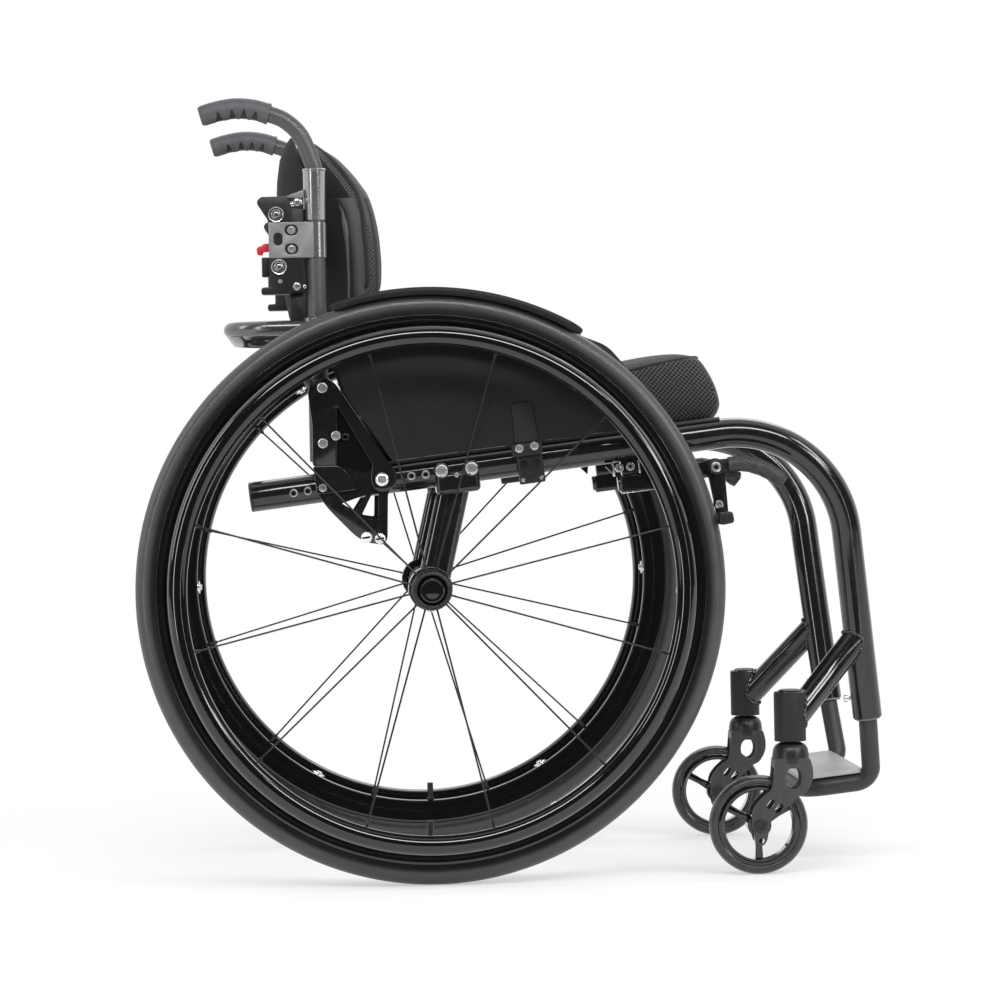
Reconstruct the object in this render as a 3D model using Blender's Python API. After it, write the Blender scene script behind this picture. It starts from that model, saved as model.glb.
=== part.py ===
"""Rigid-frame wheelchair.

Metres, X forward, Y to the user's left, Z up. Every length along X is measured from the
rear axle, and the parent empty carries the whole chair so that the origin lies on the
floor under the middle of its length. Heights of the frame, seat and back that are called a
rise are measured from the rear axle too.
"""
import bmesh
import bpy
from math import atan2, cos, pi, radians, sin, sqrt, tan
from mathutils import Matrix, Vector

MM = 0.001

# Clearances
GAP = 0.3 * MM
RUN = 0.5 * MM

# Rear wheels
WHEEL_R = 295 * MM
WHEEL_Y = 235 * MM
TYRE_W = 25 * MM
TYRE_H = 25 * MM
RIM_W = 24 * MM
RIM_H = 20 * MM
RIM_INNER_W = 14.4 * MM
FLANGE_H = 4.5 * MM
RIM_LIP = 1.5 * MM
WHEEL_SEGMENTS = 36
# From the rim to the crown, in shares of the tyre's height and of its half width
TYRE_SHAPE = [(0.38, 1.0), (0.82, 0.62), (1.0, 0.15)]
HANDRIM_RISE = 2 * MM
HANDRIM_TUBE_R = 10 * MM
HANDRIM_REACH = 45 * MM
HANDRIM_SIDES = 6
HANDRIM_TABS = 6
TAB_W = 16 * MM
TAB_H = 7 * MM
SPOKES = 12
HUB_SEGMENTS = 16
SPOKE_R = 1.4 * MM
HUB_FLANGE_R = 20 * MM
HUB_WAIST_R = 13 * MM
HUB_TAPER = 4 * MM
HUB_CHAMFER = 3 * MM
HUB_INNER = 30 * MM
HUB_OUTER = 35 * MM
FLANGE_T = 9 * MM
RECESS_R = 14.5 * MM
RECESS_DEPTH = 12 * MM
PIN_R = 6.35 * MM
PIN_HEAD_R = 9 * MM
PIN_HEAD_T = 4 * MM
PIN_GRIP = 38 * MM
PIN_CHAMFER = 1 * MM
BUTTON_R = 13 * MM
BUTTON_T = 4 * MM
BUTTON_STEM_R = 3.5 * MM
BUTTON_STEM = 12 * MM
BUTTON_TRAVEL = 4 * MM
BUTTON_CHAMFER = 1.2 * MM

# Main tubes
TUBE_R = 15 * MM
TUBE_WALL = 2 * MM
TUBE_Y = 190 * MM
TUBE_FOOT_Y = 155 * MM
TUBE_SLOPE = radians(6.6)
TUBE_LEAN = radians(6.25)
CORNER_X = 413 * MM
CORNER_RISE = 164 * MM
BEND_R = 116 * MM
TUBE_REAR_X = -177 * MM
TUBE_FOOT_Z = 153 * MM
TUBE_SIDES = 12
CAP_T = 3 * MM
CAP_PLUG = 14 * MM

# Caster housing and its strut
CASTER_X = 360 * MM
CASTER_Y = 210 * MM
HOUSING_R = 16 * MM
HOUSING_TOP = 183 * MM
HOUSING_FOOT = 133.6 * MM
STRUT_R = 13.5 * MM
STRUT_LOW_Z = 151 * MM
STRUT_TOP_Z = 237 * MM
STEM_R = 6 * MM
STEM_CLEAR = 5 * MM
CAP_DISC_R = 11.5 * MM
CAP_DISC_T = 3 * MM
CAP_DISC_EDGE = 3 * MM
CAP_STEM = 8 * MM

# Casters
CASTER_R = 50 * MM
CASTER_TYRE_W = 22 * MM
CASTER_TYRE_SHAPE = [(0.0, 0.86), (0.35, 1.0), (0.72, 0.62), (1.0, 0.2)]
CASTER_RIM_R = 41 * MM
CASTER_RIM_WALL = 6 * MM
CASTER_RIM_W = 20 * MM
CASTER_RIM_BEVEL = 2 * MM
CASTER_HUB_R = 12 * MM
CASTER_HUB_W = 25 * MM
CASTER_SPOKES = 3
CASTER_SEGMENTS = 20
CASTER_SPOKE_W = 7 * MM
CASTER_SPOKE_ROOT_W = 9 * MM
CASTER_SPOKE_T = 8 * MM
TRAIL = 34 * MM
FORK_INNER = 13.5 * MM
FORK_PLATE = 4 * MM
# Radius in millimetres and share of the crown's height, from its foot up
CROWN_PROFILE = [(17.5, 0), (18.5, 0.3), (17.5, 0.8), (13.5, 0.95), (10.5, 1)]
CROWN_Z = 112 * MM
CROWN_CLEAR = 1.2 * MM
# Millimetres from the swivel axis and the crown's foot, then from the caster's axle
FORK_NECK = [(-23, -25.5), (-19.5, -16), (-18, 5), (18, 5), (20, -16), (15.5, -29), (6.5, -35)]
FORK_EAR = [(34.5, 16), (12, 7), (10, -5), (7, -16), (2, -20), (-3.5, -16.5), (-5.5, -7), (-8, 3),
            (-8, 15), (-3.5, 23), (2, 30)]
FORK_WINDOW_W = 17 * MM
FORK_WINDOW_H = 22 * MM
FORK_WINDOW_DROP = 15.5 * MM
CASTER_BOLT_R = 4 * MM
CASTER_BOLT_HEAD_R = 6.5 * MM
CASTER_BOLT_HEAD_T = 3 * MM

# Axle mount
CAMBER_R = 16 * MM
CAMBER_WALL = 2.5 * MM
AXLE_SLEEVE = 45 * MM
SADDLE_L = 45 * MM
SADDLE_X = 28 * MM
SADDLE_SIDE = 4 * MM
SADDLE_DROP = 24 * MM
SADDLE_TOP_DROP = 2 * MM
STEM_W = 37 * MM
STEM_T = 20 * MM
RING_WALL = 6 * MM
RING_W = 29 * MM

# Folding back brackets, outlines in millimetres from the fold pivot and from the cane
PIVOT_X = -47 * MM
PLATE_T = 4 * MM
PIVOT_PIN_R = 4 * MM
PIVOT_HEAD_R = 7 * MM
PIVOT_HEAD_T = 2.4 * MM
FIXED_OUTLINE = [(-68, 12), (-66, -12), (-54, -29), (-28, -56), (-17, -63), (0, -65), (4, -61),
                 (6, -13), (15, -3), (14, 6), (6, 12), (-6, 13), (-36, 45), (-46, 51), (-63, 42)]
FIXED_WINDOW = [(-22, -38), (-4, -17), (-4, -42)]
FOLD_ALONG_CANE = [(17, 15), (-7, 15), (-7, 58), (-11, 91), (-4, 102), (6, 105), (17, 98)]
FOLD_ROUND_PIVOT = [(6, 19), (13, 10), (15, 0), (10, -10), (0, -13), (-9, -9), (-11, 3), (-9, 15)]
FOLD_CROOK = (18, 76)
BOSS_R = 7 * MM
BOSS_HEIGHTS = (65 * MM, 94 * MM)

# Canes, handles and grips
CANE_X = -109 * MM
CANE_Y = 185 * MM
CANE_R = 10 * MM
CANE_FOOT_RISE = 130 * MM
SLEEVE_CLEAR = 2 * MM
CANE_TOP_RISE = 426 * MM
SLEEVE_R = 11.2 * MM
SLEEVE_LIP = 0.8 * MM
SLEEVE_LIP_H = 2 * MM
HANDLE_R = 8.5 * MM
HANDLE_ROUTE = [(0, -12), (0, 0), (-3, 10), (-13, 34), (-28, 49), (-44, 56), (-60, 60.5), (-78, 62)]
GRIP_ROUTE = [(-44, 56), (-60, 60.5), (-78, 62), (-96, 59.5), (-114, 54.5)]
GRIP_WALL = 2.8 * MM
GRIP_SIDES = 10

# Bar that joins the canes
BAR_DROP = 88 * MM
BAR_R = 7.5 * MM
BAR_BACK = 88 * MM
BAR_BEND_R = 45 * MM
COLLAR_WALL = 4 * MM
COLLAR_H = 20 * MM

# Back shell and its pad: rise, rear face at the middle, front edge at the side, half width
SHELL_LEVELS = [(283, -139, -75, 170), (315, -145, -74, 171), (350, -149, -75, 172),
                (383, -150, -79, 171), (405, -150, -90, 165), (427, -149, -104, 152),
                (448, -146, -118, 130), (462, -141, -126, 104), (469, -136, -130, 80)]
SHELL_T = 3.5 * MM
SHELL_SPAN = 14
SHELL_POWER = 2.6
SHELL_CROWD = 0.55
PAD_LEVELS = [(287, -47, -80), (305, -40, -74), (333, -40, -72), (359, -42, -73), (383, -46, -76),
              (403, -52, -82), (424, -66, -92), (443, -82, -105), (458, -101, -121)]
PAD_WING = 0.72
PAD_INSET = 5 * MM
PAD_EDGE_FALL = 18 * MM
PAD_EDGE_T = 6 * MM
PAD_DRAW = 0.02

# Cane clamps, hooks and release levers
CLAMP_RISE = 354 * MM
CLAMP_H = 36 * MM
CLAMP_T = 3 * MM
CLAMP_BACK = 47 * MM
CLAMP_BACK_INSIDE = 29 * MM
HOOK_OUTLINE = [(-12, 44), (-54, 44), (-59, 39), (-47, 20), (-47, -44), (-55, -50), (-55, -53), (-12, -53)]
HOOK_HALF_W = 10 * MM
ARM_REACH = 62 * MM
ARM_T = 6 * MM
ARM_H = 34 * MM
ARM_FOOT_R = 13 * MM
ARM_FOOT_L = 40 * MM
LEVER_OUTLINE = [(-2, 5), (-13, 6), (-17, -4), (-12, -6), (-2, -4)]
LEVER_HINGE = (-50, -7)
LEVER_BARREL_R = 4 * MM
LEVER_W = 8 * MM

# Seat
SLING_REAR = -85 * MM
SLING_FRONT = 296 * MM
SLING_T = 2 * MM
SLING_SAG = 10 * MM
SLING_WRAP = radians(60)
CUSHION_REAR = -82 * MM
CUSHION_FRONT = 311 * MM
CUSHION_HALF_W = 172 * MM
CUSHION_H = 56 * MM
CUSHION_CROWN = 8 * MM
CUSHION_RISE = 11 * MM
CUSHION_RISE_SHARE = 0.45
CUSHION_DRAW = 0.03
CUSHION_SOFT = 0.08
CUSHION_EDGE_FALL = 7 * MM
CUSHION_CUTS = 7

# Side guards and their sockets, heights of the corners in millimetres from the tyre's top
GUARD_Y = 216.5 * MM
GUARD_T = 2.5 * MM
GUARD_REAR = [(-82, -96), (-96, -54), (-102, -16)]
GUARD_FRONT = [(182, -54), (200, -75), (217, -104)]
GUARD_FOOT_REAR = -36 * MM
GUARD_FOOT_FRONT = 230 * MM
GUARD_ABOVE_TUBE = 1.5 * MM
FENDER_CLEAR = 4.5 * MM
FENDER_T = 2.5 * MM
FENDER_REACH = 34 * MM
FENDER_FROM = radians(-19)
FENDER_TO = radians(31.5)
FENDER_STEPS = 14
SOCKET_X = 102 * MM
SOCKET_L = 26 * MM
SOCKET_H = 36 * MM
SOCKET_TOP = 12 * MM
SOCKET_WALL = 4 * MM
TONGUE_W = 17 * MM
TONGUE_T = 4 * MM
TONGUE_DEPTH = 26 * MM
TAB_TOP = 40 * MM
BRIDGE_LIFT = 6 * MM

# Brakes, set back from the tyre's front edge and then from the pivot
BRAKE_SETBACK = 6 * MM
BRAKE_CLAMP_SETBACK = 77 * MM
BRAKE_BAR_SETBACK = 27 * MM
BRAKE_L = 40 * MM
BRAKE_SIDE = 3 * MM
BRAKE_TOP_DROP = 4 * MM
BRAKE_BAR_R = 8 * MM
BRAKE_BAR_WALL = 1.5 * MM
BRAKE_BAR_DROP = 37 * MM
BRAKE_BAR_L = 70 * MM
BRAKE_KNEE_L = 16 * MM
BRAKE_KNEE_H = 18 * MM
BRAKE_TAIL_L = 13 * MM
BRAKE_TAIL_H = 14 * MM
BRAKE_PLATE_Y = 208.5 * MM
BRAKE_PLATE = 4 * MM
BRAKE_PIVOT_DROP = 33 * MM
BRAKE_HUB_R = 9 * MM
LEVER_HUB_R = 7.5 * MM
BRAKE_PIN_R = 4 * MM
BRAKE_HEAD_R = 6.5 * MM
BRAKE_HEAD_T = 2 * MM
SHOE_R = 7.5 * MM
SHOE_ANGLE = radians(12.5)
SHOE_OVERHANG = 8 * MM
LEVER_ROUTE = [(15, 2.5), (28, 3), (41.5, 0), (55.5, -6.5), (68.5, -16.5)]
LEVER_GRIP_R = 8.5 * MM

# Footrest
LEG_R = 9.5 * MM
LEG_SIDES = 12
LEG_TOP_Z = 197 * MM
LEG_HEADROOM = 2 * MM
LEG_KNEE_DROP = 6 * MM
LEG_KNEE_R = 40 * MM
FOOT_Y = 125 * MM
FOOT_CORNER_Z = 85 * MM
FOOT_BEND_R = 17 * MM
FOOT_REAR_BEND_R = 22 * MM
FOOT_DEPTH = 70 * MM
PLATE_THICK = 4 * MM
PLATE_OVERHANG = 8 * MM
PLATE_CORNER = 8 * MM

AXLE_Z = WHEEL_R
BEAD_R = WHEEL_R - TYRE_H
RIM_INNER_R = BEAD_R - RIM_H
HANDRIM_R = RIM_INNER_R + HANDRIM_RISE
CORNER_Z = AXLE_Z + CORNER_RISE
CANE_FOOT = AXLE_Z + CANE_FOOT_RISE
CANE_TOP = AXLE_Z + CANE_TOP_RISE
CLAMP_Z = AXLE_Z + CLAMP_RISE
SLEEVE_FOOT = CLAMP_Z + CLAMP_H / 2 + SLEEVE_CLEAR
BAR_Z = CLAMP_Z - BAR_DROP
BRAKE_PIVOT_X = WHEEL_R - BRAKE_SETBACK
BRAKE_X = BRAKE_PIVOT_X - BRAKE_CLAMP_SETBACK
BRAKE_BAR_FRONT = BRAKE_PIVOT_X - BRAKE_BAR_SETBACK
BRAKE_BAR_REAR = BRAKE_BAR_FRONT - BRAKE_BAR_L
CASTER_RIM_INNER_R = CASTER_RIM_R - CASTER_RIM_WALL
STEM_TOP = HOUSING_TOP - CAP_STEM - STEM_CLEAR
PIVOT_Z = CORNER_Z + tan(TUBE_SLOPE) * (PIVOT_X - CORNER_X)
BRACKET_Y = TUBE_Y + TUBE_R + GAP
FOLD_Y = BRACKET_Y + PLATE_T + GAP
FOOT_CORNER_X = CORNER_X + tan(TUBE_LEAN) * (CORNER_Z - FOOT_CORNER_Z)
REACH_FRONT = FOOT_CORNER_X - FOOT_BEND_R * (sin(TUBE_LEAN) + cos(TUBE_LEAN) - 1) + LEG_R
AXLE_X = (WHEEL_R - REACH_FRONT) / 2
UP = Vector((0, 0, 1))
LEFT = Vector((0, 1, 0))
AHEAD = Vector((1, 0, 0))


def clear_scene():
    for old in list(bpy.data.objects):
        bpy.data.objects.remove(old, do_unlink=True)


def finish(name, colour, roughness, metallic=0.0):
    material = bpy.data.materials.new(name)
    material.use_nodes = True
    shader = material.node_tree.nodes["Principled BSDF"]
    shader.inputs["Base Color"].default_value = (*colour, 1)
    shader.inputs["Roughness"].default_value = roughness
    shader.inputs["Metallic"].default_value = metallic
    material.diffuse_color = (*colour, 1)
    return material


def rail(x):
    """Point on the left main tube's axis at x, on its straight stretch."""
    return Vector((x, TUBE_Y, CORNER_Z + tan(TUBE_SLOPE) * (x - CORNER_X)))


def front(z):
    """Point on the left front tube's axis at height z."""
    share = (CORNER_Z - z) / (CORNER_Z - TUBE_FOOT_Z)
    y = TUBE_Y + (TUBE_FOOT_Y - TUBE_Y) * share
    return Vector((CORNER_X + tan(TUBE_LEAN) * (CORNER_Z - z), y, z))


def rounded(corners, radii, steps=6):
    """A route through the corners, each inner one turned on its radius."""
    route = [Vector(corners[0])]
    for before, corner, after, radius in zip(corners, corners[1:], corners[2:], radii):
        corner = Vector(corner)
        back = (Vector(before) - corner).normalized()
        ahead = (Vector(after) - corner).normalized()
        half = back.angle(ahead) / 2
        centre = corner + (back + ahead).normalized() * radius / sin(half)
        start = corner + back * radius / tan(half) - centre
        turn = pi - 2 * half
        axis = back.cross(ahead).normalized()
        for step in range(steps + 1):
            route.append(centre + Matrix.Rotation(-turn * step / steps, 3, axis) @ start)
    route.append(Vector(corners[-1]))
    return route


def smooth(points, steps=3):
    """A curve through the points, as Catmull and Rom draw it."""
    first = points[0] * 2 - points[1]
    last = points[-1] * 2 - points[-2]
    knots = [first, *points, last]
    route = []
    for a, b, c, d in zip(knots, knots[1:], knots[2:], knots[3:]):
        for step in range(steps):
            t = step / steps
            route.append(0.5 * (2 * b + (c - a) * t + (2 * a - 5 * b + 4 * c - d) * t ** 2
                                + (3 * b - a - 3 * c + d) * t ** 3))
    route.append(points[-1])
    return route


def sweep(route, radius, sides, side=LEFT):
    """A round bar along the route, with flat closed ends."""
    bm = bmesh.new()
    rings = []
    for index, point in enumerate(route):
        before = route[max(index - 1, 0)]
        after = route[min(index + 1, len(route) - 1)]
        along = (after - before).normalized()
        side = (side - along * side.dot(along)).normalized()
        other = along.cross(side)
        ring = [bm.verts.new(point + (side * cos(a) + other * sin(a)) * radius)
                for a in (2 * pi * k / sides for k in range(sides))]
        rings.append(ring)
    for ring, following in zip(rings, rings[1:]):
        for k in range(sides):
            bm.faces.new((ring[k], ring[(k + 1) % sides], following[(k + 1) % sides], following[k]))
    bm.faces.new(list(reversed(rings[0])))
    bm.faces.new(rings[-1])
    bmesh.ops.recalc_face_normals(bm, faces=bm.faces)
    return bm


def rod(start, end, radius, sides=12, side=LEFT):
    start = Vector(start)
    end = Vector(end)
    if abs((end - start).normalized().dot(side)) > 0.99:
        side = AHEAD
    return sweep([start, end], radius, sides, side)


def turned(profile, segments, centre, closed=True, axis=LEFT, phase=0.0):
    """A profile of (radius, place along the axis) spun round the axis."""
    bm = bmesh.new()
    out = UP if axis != UP else AHEAD
    verts = [bm.verts.new(out * r + axis * a) for r, a in profile]
    ends = len(verts) if closed else len(verts) - 1
    edges = [bm.edges.new((verts[k], verts[(k + 1) % len(verts)])) for k in range(ends)]
    bmesh.ops.spin(bm, geom=verts + edges, axis=axis, cent=(0, 0, 0), angle=2 * pi,
                   steps=segments, use_merge=True)
    bmesh.ops.remove_doubles(bm, verts=bm.verts, dist=0.01 * MM)
    bmesh.ops.rotate(bm, verts=bm.verts, matrix=Matrix.Rotation(phase, 3, axis))
    bmesh.ops.translate(bm, verts=bm.verts, vec=centre)
    bmesh.ops.recalc_face_normals(bm, faces=bm.faces)
    return bm


def pushed(outline, shift, place=(0, 0, 0)):
    """A flat outline of 3-D points pushed out by the shift."""
    bm = bmesh.new()
    face = bm.faces.new([bm.verts.new(Vector(p) + Vector(place)) for p in outline])
    grown = bmesh.ops.extrude_face_region(bm, geom=[face])
    moved = [item for item in grown["geom"] if isinstance(item, bmesh.types.BMVert)]
    bmesh.ops.translate(bm, verts=moved, vec=shift)
    bmesh.ops.recalc_face_normals(bm, faces=bm.faces)
    return bm


def plate(outline, y, thickness, origin=(0, 0), unit=MM):
    """An outline in the X-Z plane, given in millimetres from the origin, as a plate."""
    points = [(origin[0] + x * unit, y, origin[1] + z * unit) for x, z in outline]
    return pushed(points, LEFT * thickness)


def block(low, high):
    bm = bmesh.new()
    bmesh.ops.create_cube(bm, size=1)
    low = Vector(low)
    high = Vector(high)
    bmesh.ops.scale(bm, verts=bm.verts, vec=high - low)
    bmesh.ops.translate(bm, verts=bm.verts, vec=(high + low) / 2)
    return bm


def tilted(bm, centre, angle=-TUBE_SLOPE):
    bmesh.ops.rotate(bm, verts=bm.verts, cent=centre, matrix=Matrix.Rotation(angle, 3, LEFT))
    return bm


def rough(bm, name="rough"):
    mesh = bpy.data.meshes.new(name)
    bm.to_mesh(mesh)
    bm.free()
    item = bpy.data.objects.new(name, mesh)
    bpy.context.scene.collection.objects.link(item)
    return item


def boolean(body, tool, operation):
    modifier = body.modifiers.new(operation, "BOOLEAN")
    modifier.operation = operation
    modifier.solver = "EXACT"
    modifier.object = tool
    graph = bpy.context.evaluated_depsgraph_get()
    mesh = bpy.data.meshes.new_from_object(body.evaluated_get(graph))
    body.modifiers.clear()
    body.data = mesh
    bpy.data.objects.remove(tool, do_unlink=True)


def build(base, add=(), cut=()):
    """The base with solids fused to it, and then with solids cut from it."""
    body = rough(base)
    for bm in add:
        boolean(body, rough(bm), "UNION")
    for bm in cut:
        boolean(body, rough(bm), "DIFFERENCE")
    return body


def keep(body, name, material, origin=(0, 0, 0)):
    """Name a finished body, put its origin on the given point and hang it on the chair."""
    mesh = body.data
    mesh.name = name
    mesh.transform(Matrix.Translation(-Vector(origin)))
    mesh.materials.clear()
    mesh.materials.append(material)
    mesh.shade_smooth()
    mesh.set_sharp_from_angle(angle=radians(32))
    body.name = name
    body.parent = chair
    body.location = origin
    return body


def pair(body, stem, material, origin=(0, 0, 0)):
    """The left piece as built, and its mirror image on the right."""
    bm = bmesh.new()
    bm.from_mesh(body.data)
    bmesh.ops.scale(bm, verts=bm.verts, vec=(1, -1, 1))
    bmesh.ops.reverse_faces(bm, faces=bm.faces)
    other = rough(bm)
    keep(body, "left_" + stem, material, origin)
    keep(other, "right_" + stem, material, (origin[0], -origin[1], origin[2]))


# Frame

def frame_route(extra=0.0):
    rear = rail(TUBE_REAR_X)
    foot = front(TUBE_FOOT_Z)
    corner = Vector((CORNER_X, TUBE_Y, CORNER_Z))
    rear = rear + (rear - corner).normalized() * extra
    return rounded([rear, corner, foot], [BEND_R], steps=7)


def side_frame():
    housing = Vector((CASTER_X, CASTER_Y, 0))
    strut = rod(housing + UP * STRUT_LOW_Z, front(STRUT_TOP_Z), STRUT_R, TUBE_SIDES)
    shell = turned([(0, HOUSING_FOOT), (HOUSING_R, HOUSING_FOOT), (HOUSING_R, HOUSING_TOP), (0, HOUSING_TOP)],
                   TUBE_SIDES, housing, closed=False, axis=UP)
    above = front(LEG_TOP_Z + LEG_HEADROOM)
    below = front(TUBE_FOOT_Z - TUBE_R)
    leg_bore = sweep([above, below], LEG_R / cos(pi / LEG_SIDES) + GAP, LEG_SIDES)
    route = frame_route(extra=TUBE_R)
    bore = [point for point in route if point.z > STRUT_TOP_Z or point.x < CORNER_X - BEND_R] + [above]
    return build(sweep(frame_route(), TUBE_R, TUBE_SIDES), add=[strut, shell],
                 cut=[sweep(bore, TUBE_R - TUBE_WALL, TUBE_SIDES), leg_bore,
                      rod(housing, housing + UP, STEM_R + RUN)])


def rear_cap():
    end = rail(TUBE_REAR_X)
    along = (rail(0) - end).normalized()
    inner = TUBE_R - TUBE_WALL - GAP
    base = rod(end - along * (GAP + CAP_T), end - along * GAP, TUBE_R, TUBE_SIDES)
    return build(base, add=[rod(end - along * (GAP + CAP_T / 2), end + along * CAP_PLUG, inner, TUBE_SIDES)])


def caster_cap():
    centre = Vector((CASTER_X, CASTER_Y, HOUSING_TOP + GAP))
    disc = [(0, 0), (CAP_DISC_R, 0), (CAP_DISC_R, CAP_DISC_T / 2),
            (CAP_DISC_R - CAP_DISC_EDGE, CAP_DISC_T), (0, CAP_DISC_T)]
    plug = rod(centre + UP * CAP_DISC_T / 2, centre - UP * CAP_STEM, STEM_R)
    return build(turned(disc, TUBE_SIDES, centre, closed=False, axis=UP), add=[plug])


# Axle mount

def camber_tube():
    half = WHEEL_Y - HUB_INNER - GAP
    inner = CAMBER_R - CAMBER_WALL
    bore = PIN_R + GAP
    profile = [(CAMBER_R, -half), (CAMBER_R, half), (bore, half), (bore, half - AXLE_SLEEVE),
               (inner, half - AXLE_SLEEVE - inner), (inner, AXLE_SLEEVE + inner - half),
               (bore, AXLE_SLEEVE - half), (bore, -half)]
    return rough(turned(profile, TUBE_SIDES, Vector((0, 0, AXLE_Z))))


def axle_stem():
    middle = rail(SADDLE_X)
    axle = Vector((0, TUBE_Y, AXLE_Z))
    outer = Vector((0, WHEEL_Y - HUB_INNER - GAP, AXLE_Z))
    half = TUBE_R + SADDLE_SIDE
    saddle = block(middle + Vector((-SADDLE_L / 2, -half, -SADDLE_DROP)),
                   middle + Vector((SADDLE_L / 2, half, -SADDLE_TOP_DROP)))
    lean = atan2(middle.x, middle.z - AXLE_Z)
    height = (middle - axle).length - TUBE_R - SADDLE_SIDE
    post = pushed(stadium(STEM_W, STEM_T, 6), UP * height)
    bmesh.ops.rotate(post, verts=post.verts, matrix=Matrix.Rotation(lean, 3, LEFT))
    bmesh.ops.translate(post, verts=post.verts, vec=axle)
    ring = rod(outer - LEFT * RING_W, outer, CAMBER_R + GAP + RING_WALL, TUBE_SIDES)
    return build(tilted(saddle, middle), add=[post, ring],
                 cut=[rod(rail(SADDLE_X - SADDLE_L), rail(SADDLE_X + SADDLE_L), TUBE_R + GAP, TUBE_SIDES),
                      rod(outer - LEFT, outer + LEFT, CAMBER_R + GAP, TUBE_SIDES)])


def stadium(length, width, steps):
    """A flat oval in X-Y with round ends."""
    radius = width / 2
    run = length / 2 - radius
    points = []
    for end, start in ((run, -pi / 2), (-run, pi / 2)):
        for step in range(steps + 1):
            angle = start + pi * step / steps
            points.append((end + radius * cos(angle), radius * sin(angle), 0))
    return points


# Rear wheels

def tyre():
    half = TYRE_W / 2
    seat = RIM_W / 2 - RIM_LIP - GAP
    foot = BEAD_R + FLANGE_H + GAP
    side = [(BEAD_R + GAP, seat), (foot, seat)]
    side += [(foot + (WHEEL_R - foot) * height, half * width) for height, width in TYRE_SHAPE]
    profile = side + [(r, -a) for r, a in reversed(side)]
    return rough(turned(profile, WHEEL_SEGMENTS, hub_point()))


def hub_point(out=0.0):
    return Vector((0, WHEEL_Y + out, AXLE_Z))


def rim_side(r):
    """Half the rim's width at a radius between its inner edge and its flange."""
    share = (r - RIM_INNER_R) / (BEAD_R + FLANGE_H - RIM_INNER_R)
    return (RIM_INNER_W + (RIM_W - RIM_INNER_W) * share) / 2


def rim():
    half = RIM_W / 2
    top = BEAD_R + FLANGE_H
    side = [(BEAD_R, half - RIM_LIP), (top, half - RIM_LIP), (top, half), (RIM_INNER_R, RIM_INNER_W / 2)]
    profile = side + [(r, -a) for r, a in reversed(side)]
    return rough(turned(profile, WHEEL_SEGMENTS, hub_point()))


def handrim():
    loop = [(HANDRIM_R + HANDRIM_TUBE_R * cos(a), HANDRIM_TUBE_R * sin(a))
            for a in (2 * pi * k / HANDRIM_SIDES for k in range(HANDRIM_SIDES))]
    tabs = bmesh.new()
    top = HANDRIM_R + TAB_H / 2
    for k in range(HANDRIM_TABS):
        tab = block((-TAB_W / 2, rim_side(top) + GAP, top - TAB_H),
                    (TAB_W / 2, HANDRIM_REACH - HANDRIM_TUBE_R / 2, top))
        turn = Matrix.Rotation(2 * pi * (k + 0.5) / HANDRIM_TABS, 3, LEFT)
        bmesh.ops.rotate(tab, verts=tab.verts, matrix=turn)
        bmesh.ops.translate(tab, verts=tab.verts, vec=hub_point())
        merge(tabs, tab)
    return build(turned(loop, WHEEL_SEGMENTS, hub_point(HANDRIM_REACH)), add=[tabs])


def merge(target, extra):
    """Move the second mesh's faces into the first."""
    mesh = bpy.data.meshes.new("extra")
    extra.to_mesh(mesh)
    extra.free()
    target.from_mesh(mesh)
    bpy.data.meshes.remove(mesh)


def hub():
    floor = HUB_OUTER - RECESS_DEPTH
    bore = PIN_R + RUN
    profile = [(bore, -HUB_INNER), (HUB_FLANGE_R - HUB_CHAMFER, -HUB_INNER),
               (HUB_FLANGE_R, HUB_CHAMFER - HUB_INNER), (HUB_FLANGE_R, FLANGE_T - HUB_INNER),
               (HUB_WAIST_R, FLANGE_T + HUB_TAPER - HUB_INNER),
               (HUB_WAIST_R, HUB_OUTER - 2 * FLANGE_T - HUB_TAPER),
               (HUB_FLANGE_R, HUB_OUTER - 2 * FLANGE_T), (HUB_FLANGE_R, HUB_OUTER - HUB_CHAMFER),
               (HUB_FLANGE_R - HUB_CHAMFER, HUB_OUTER), (RECESS_R, HUB_OUTER), (RECESS_R, floor),
               (bore, floor)]
    spokes = bmesh.new()
    roots = (FLANGE_T / 2 - HUB_INNER, HUB_OUTER - 1.5 * FLANGE_T)
    tip = RIM_INNER_R * cos(pi / WHEEL_SEGMENTS) - GAP
    for k in range(SPOKES):
        angle = 2 * pi * (k + 0.5) / SPOKES
        out = Vector((sin(angle), 0, cos(angle)))
        root = hub_point(roots[k % 2]) + out * (HUB_WAIST_R + HUB_FLANGE_R) / 2
        merge(spokes, sweep([root, hub_point() + out * tip], SPOKE_R, 4))
    return build(turned(profile, HUB_SEGMENTS, hub_point()), add=[spokes])


def axle_pin():
    floor = HUB_OUTER - RECESS_DEPTH + GAP
    bore = BUTTON_STEM_R + GAP
    inner = -(HUB_INNER + GAP + PIN_GRIP)
    depth = floor + PIN_HEAD_T - BUTTON_STEM - BUTTON_TRAVEL
    profile = [(0, inner), (PIN_R - PIN_CHAMFER, inner), (PIN_R, inner + PIN_CHAMFER), (PIN_R, floor),
               (PIN_HEAD_R, floor), (PIN_HEAD_R, floor + PIN_HEAD_T), (bore, floor + PIN_HEAD_T),
               (bore, depth), (0, depth)]
    return rough(turned(profile, HUB_SEGMENTS, hub_point(), closed=False))


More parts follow.
